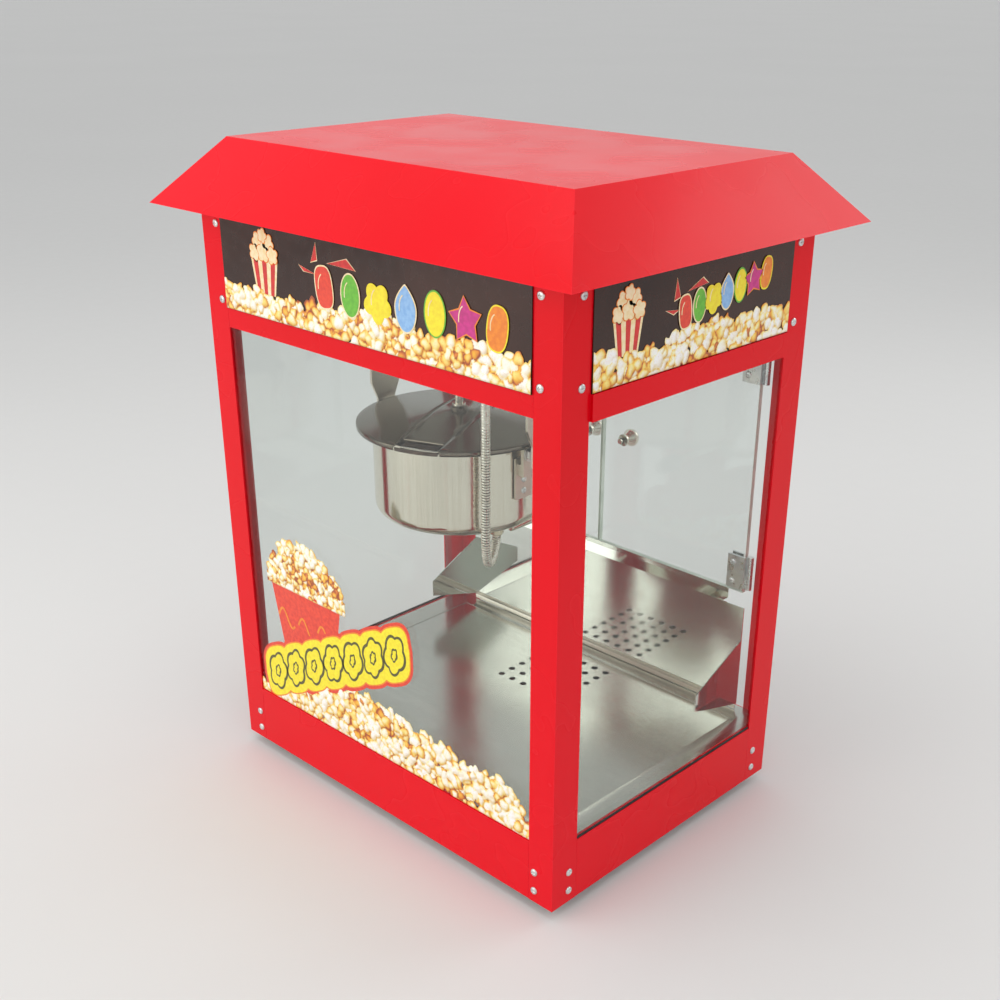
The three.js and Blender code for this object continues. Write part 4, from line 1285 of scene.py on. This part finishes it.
def make_glass_art():
    """The tub, the blank banner and the heap along the foot of the front glass."""
    face = Face("glass_front", "y", -1)
    heap = through([(-210, 94), (-105, 122), (-42, 144), (-7, 146), (20, 148), (36, 139), (75, 139),
                    (101, 134), (118, 126), (162, 135), (186, 127), (200, 118), (210, 100)])
    popcorn_film("glass_art_heap", face, (-210.5, 210.5), lambda u: 80.2, heap, 5, 25.0)

    art = Artwork(face)
    tub = [(-177, 228), (-160, 148), (-70, 180), (-61, 229), (-90, 233), (-120, 233), (-150, 230)]
    art.add(tub, 1, "scarlet")
    for start, level in ((-168, 190), (-134, 188), (-101, 190)):
        wave = [(start + t * 27, level + 10 * math.sin(t * 5.6)) for t in np.linspace(0, 1, 30)]
        art.add(ribbon(wave, 1.3), 2, "orange")
    for margin, layer, colour in ((13, 3, "scarlet"), (9.5, 4, "orange"), (8, 5, "yellow")):
        art.add(banner(margin), layer, colour)
    for i, place in enumerate(ROSETTES):
        add_rosette(art, i, place)
    art.build("glass_art_shapes")

    crown = through([(-182, 240), (-165, 268), (-153, 281), (-132, 286), (-105, 288), (-89, 279),
                     (-77, 271), (-56, 248), (-53, 236)])
    popcorn_film("glass_art_tub_heap", face, (-184, -52), lambda u: 226.0, crown, 8, 20.0, 0.35)


# ---------- stage, lights and camera ----------

def make_stage():
    floor = Finish("pale_floor")
    tone = floor.mix(floor.noise(0.8), (0.71, 0.705, 0.69, 1), (0.74, 0.735, 0.72, 1))
    size = 60.0
    square = [(-size, -size, 0), (size, -size, 0), (size, size, 0), (-size, size, 0)]
    mesh = bpy.data.meshes.new("studio_floor")
    mesh.from_pydata(square, [], [(0, 1, 2, 3)])
    mesh.materials.append(floor.dressed(tone, floor.cloud(30, 0.55, 0.65)))
    obj = bpy.data.objects.new("studio_floor", mesh)
    SCENE.collection.objects.link(obj)

    world = bpy.data.worlds.new("studio")
    world.use_nodes = True
    background = world.node_tree.nodes["Background"]
    background.inputs["Color"].default_value = (0.86, 0.87, 0.88, 1)
    background.inputs["Strength"].default_value = 0.8
    SCENE.world = world


def add_light(name, place, size, power, colour=(1, 1, 1)):
    """A soft rectangle aimed at the middle of the machine."""
    data = bpy.data.lights.new(name, "AREA")
    data.shape = "RECTANGLE"
    data.size, data.size_y = size
    data.energy = power
    data.color = colour
    lamp = bpy.data.objects.new(name, data)
    lamp.location = place
    aim = Vector((0, 0, 0.35)) - Vector(place)
    lamp.rotation_euler = aim.to_track_quat("-Z", "Y").to_euler()
    SCENE.collection.objects.link(lamp)


def make_lights():
    add_light("key", (-1.0, -2.3, 1.25), (2.4, 2.4), 30, (1.0, 0.985, 0.96))
    add_light("fill", (2.1, -0.5, 1.2), (1.2, 1.6), 5, (0.96, 0.98, 1.0))
    add_light("top", (-0.2, -0.4, 2.4), (1.8, 1.4), 12)
    add_light("back", (0.9, 2.0, 1.4), (1.2, 1.2), 8)


def make_camera():
    """The photograph's angle, height and lens. Azimuth 0 looks along +Y."""
    azimuth, elevation, roll = (math.radians(v) for v in (43.631, 25.998, 0.333))
    target = Vector((0.054, -0.026, 0.226))
    distance = 1.404
    back = Vector((math.sin(azimuth) * math.cos(elevation), -math.cos(azimuth) * math.cos(elevation),
                   math.sin(elevation)))
    level = Vector((0, 0, 1)).cross(back).normalized()
    upright = back.cross(level)
    right = level * math.cos(roll) + upright * math.sin(roll)
    up = upright * math.cos(roll) - level * math.sin(roll)
    data = bpy.data.cameras.new("camera")
    data.sensor_width = 36
    data.lens = 48.02
    data.shift_x = -0.0196
    data.shift_y = 0.1039
    data.clip_start, data.clip_end = 0.05, 60
    camera = bpy.data.objects.new("camera", data)
    turn = Matrix((right, up, back)).transposed().to_4x4()
    camera.matrix_world = Matrix.Translation(target + back * distance) @ turn
    SCENE.collection.objects.link(camera)
    SCENE.camera = camera


make_camera()
make_cable()
make_gland()
finish_cad_nodes()
make_kettle()
make_lid()
make_stirrer()
make_drive()
make_dump_handle()
make_corner_screws()
make_kettle_fasteners()
make_door_hardware()
make_pane_edges()
make_feet()
make_lamp()
make_floor_flange()
make_sill_plates()
make_flap_hem()
make_glazing_beads()
make_switch_marks()
make_header_art()
make_glass_art()
make_stage()
make_lights()
SCENE.view_settings.view_transform = "Standard"
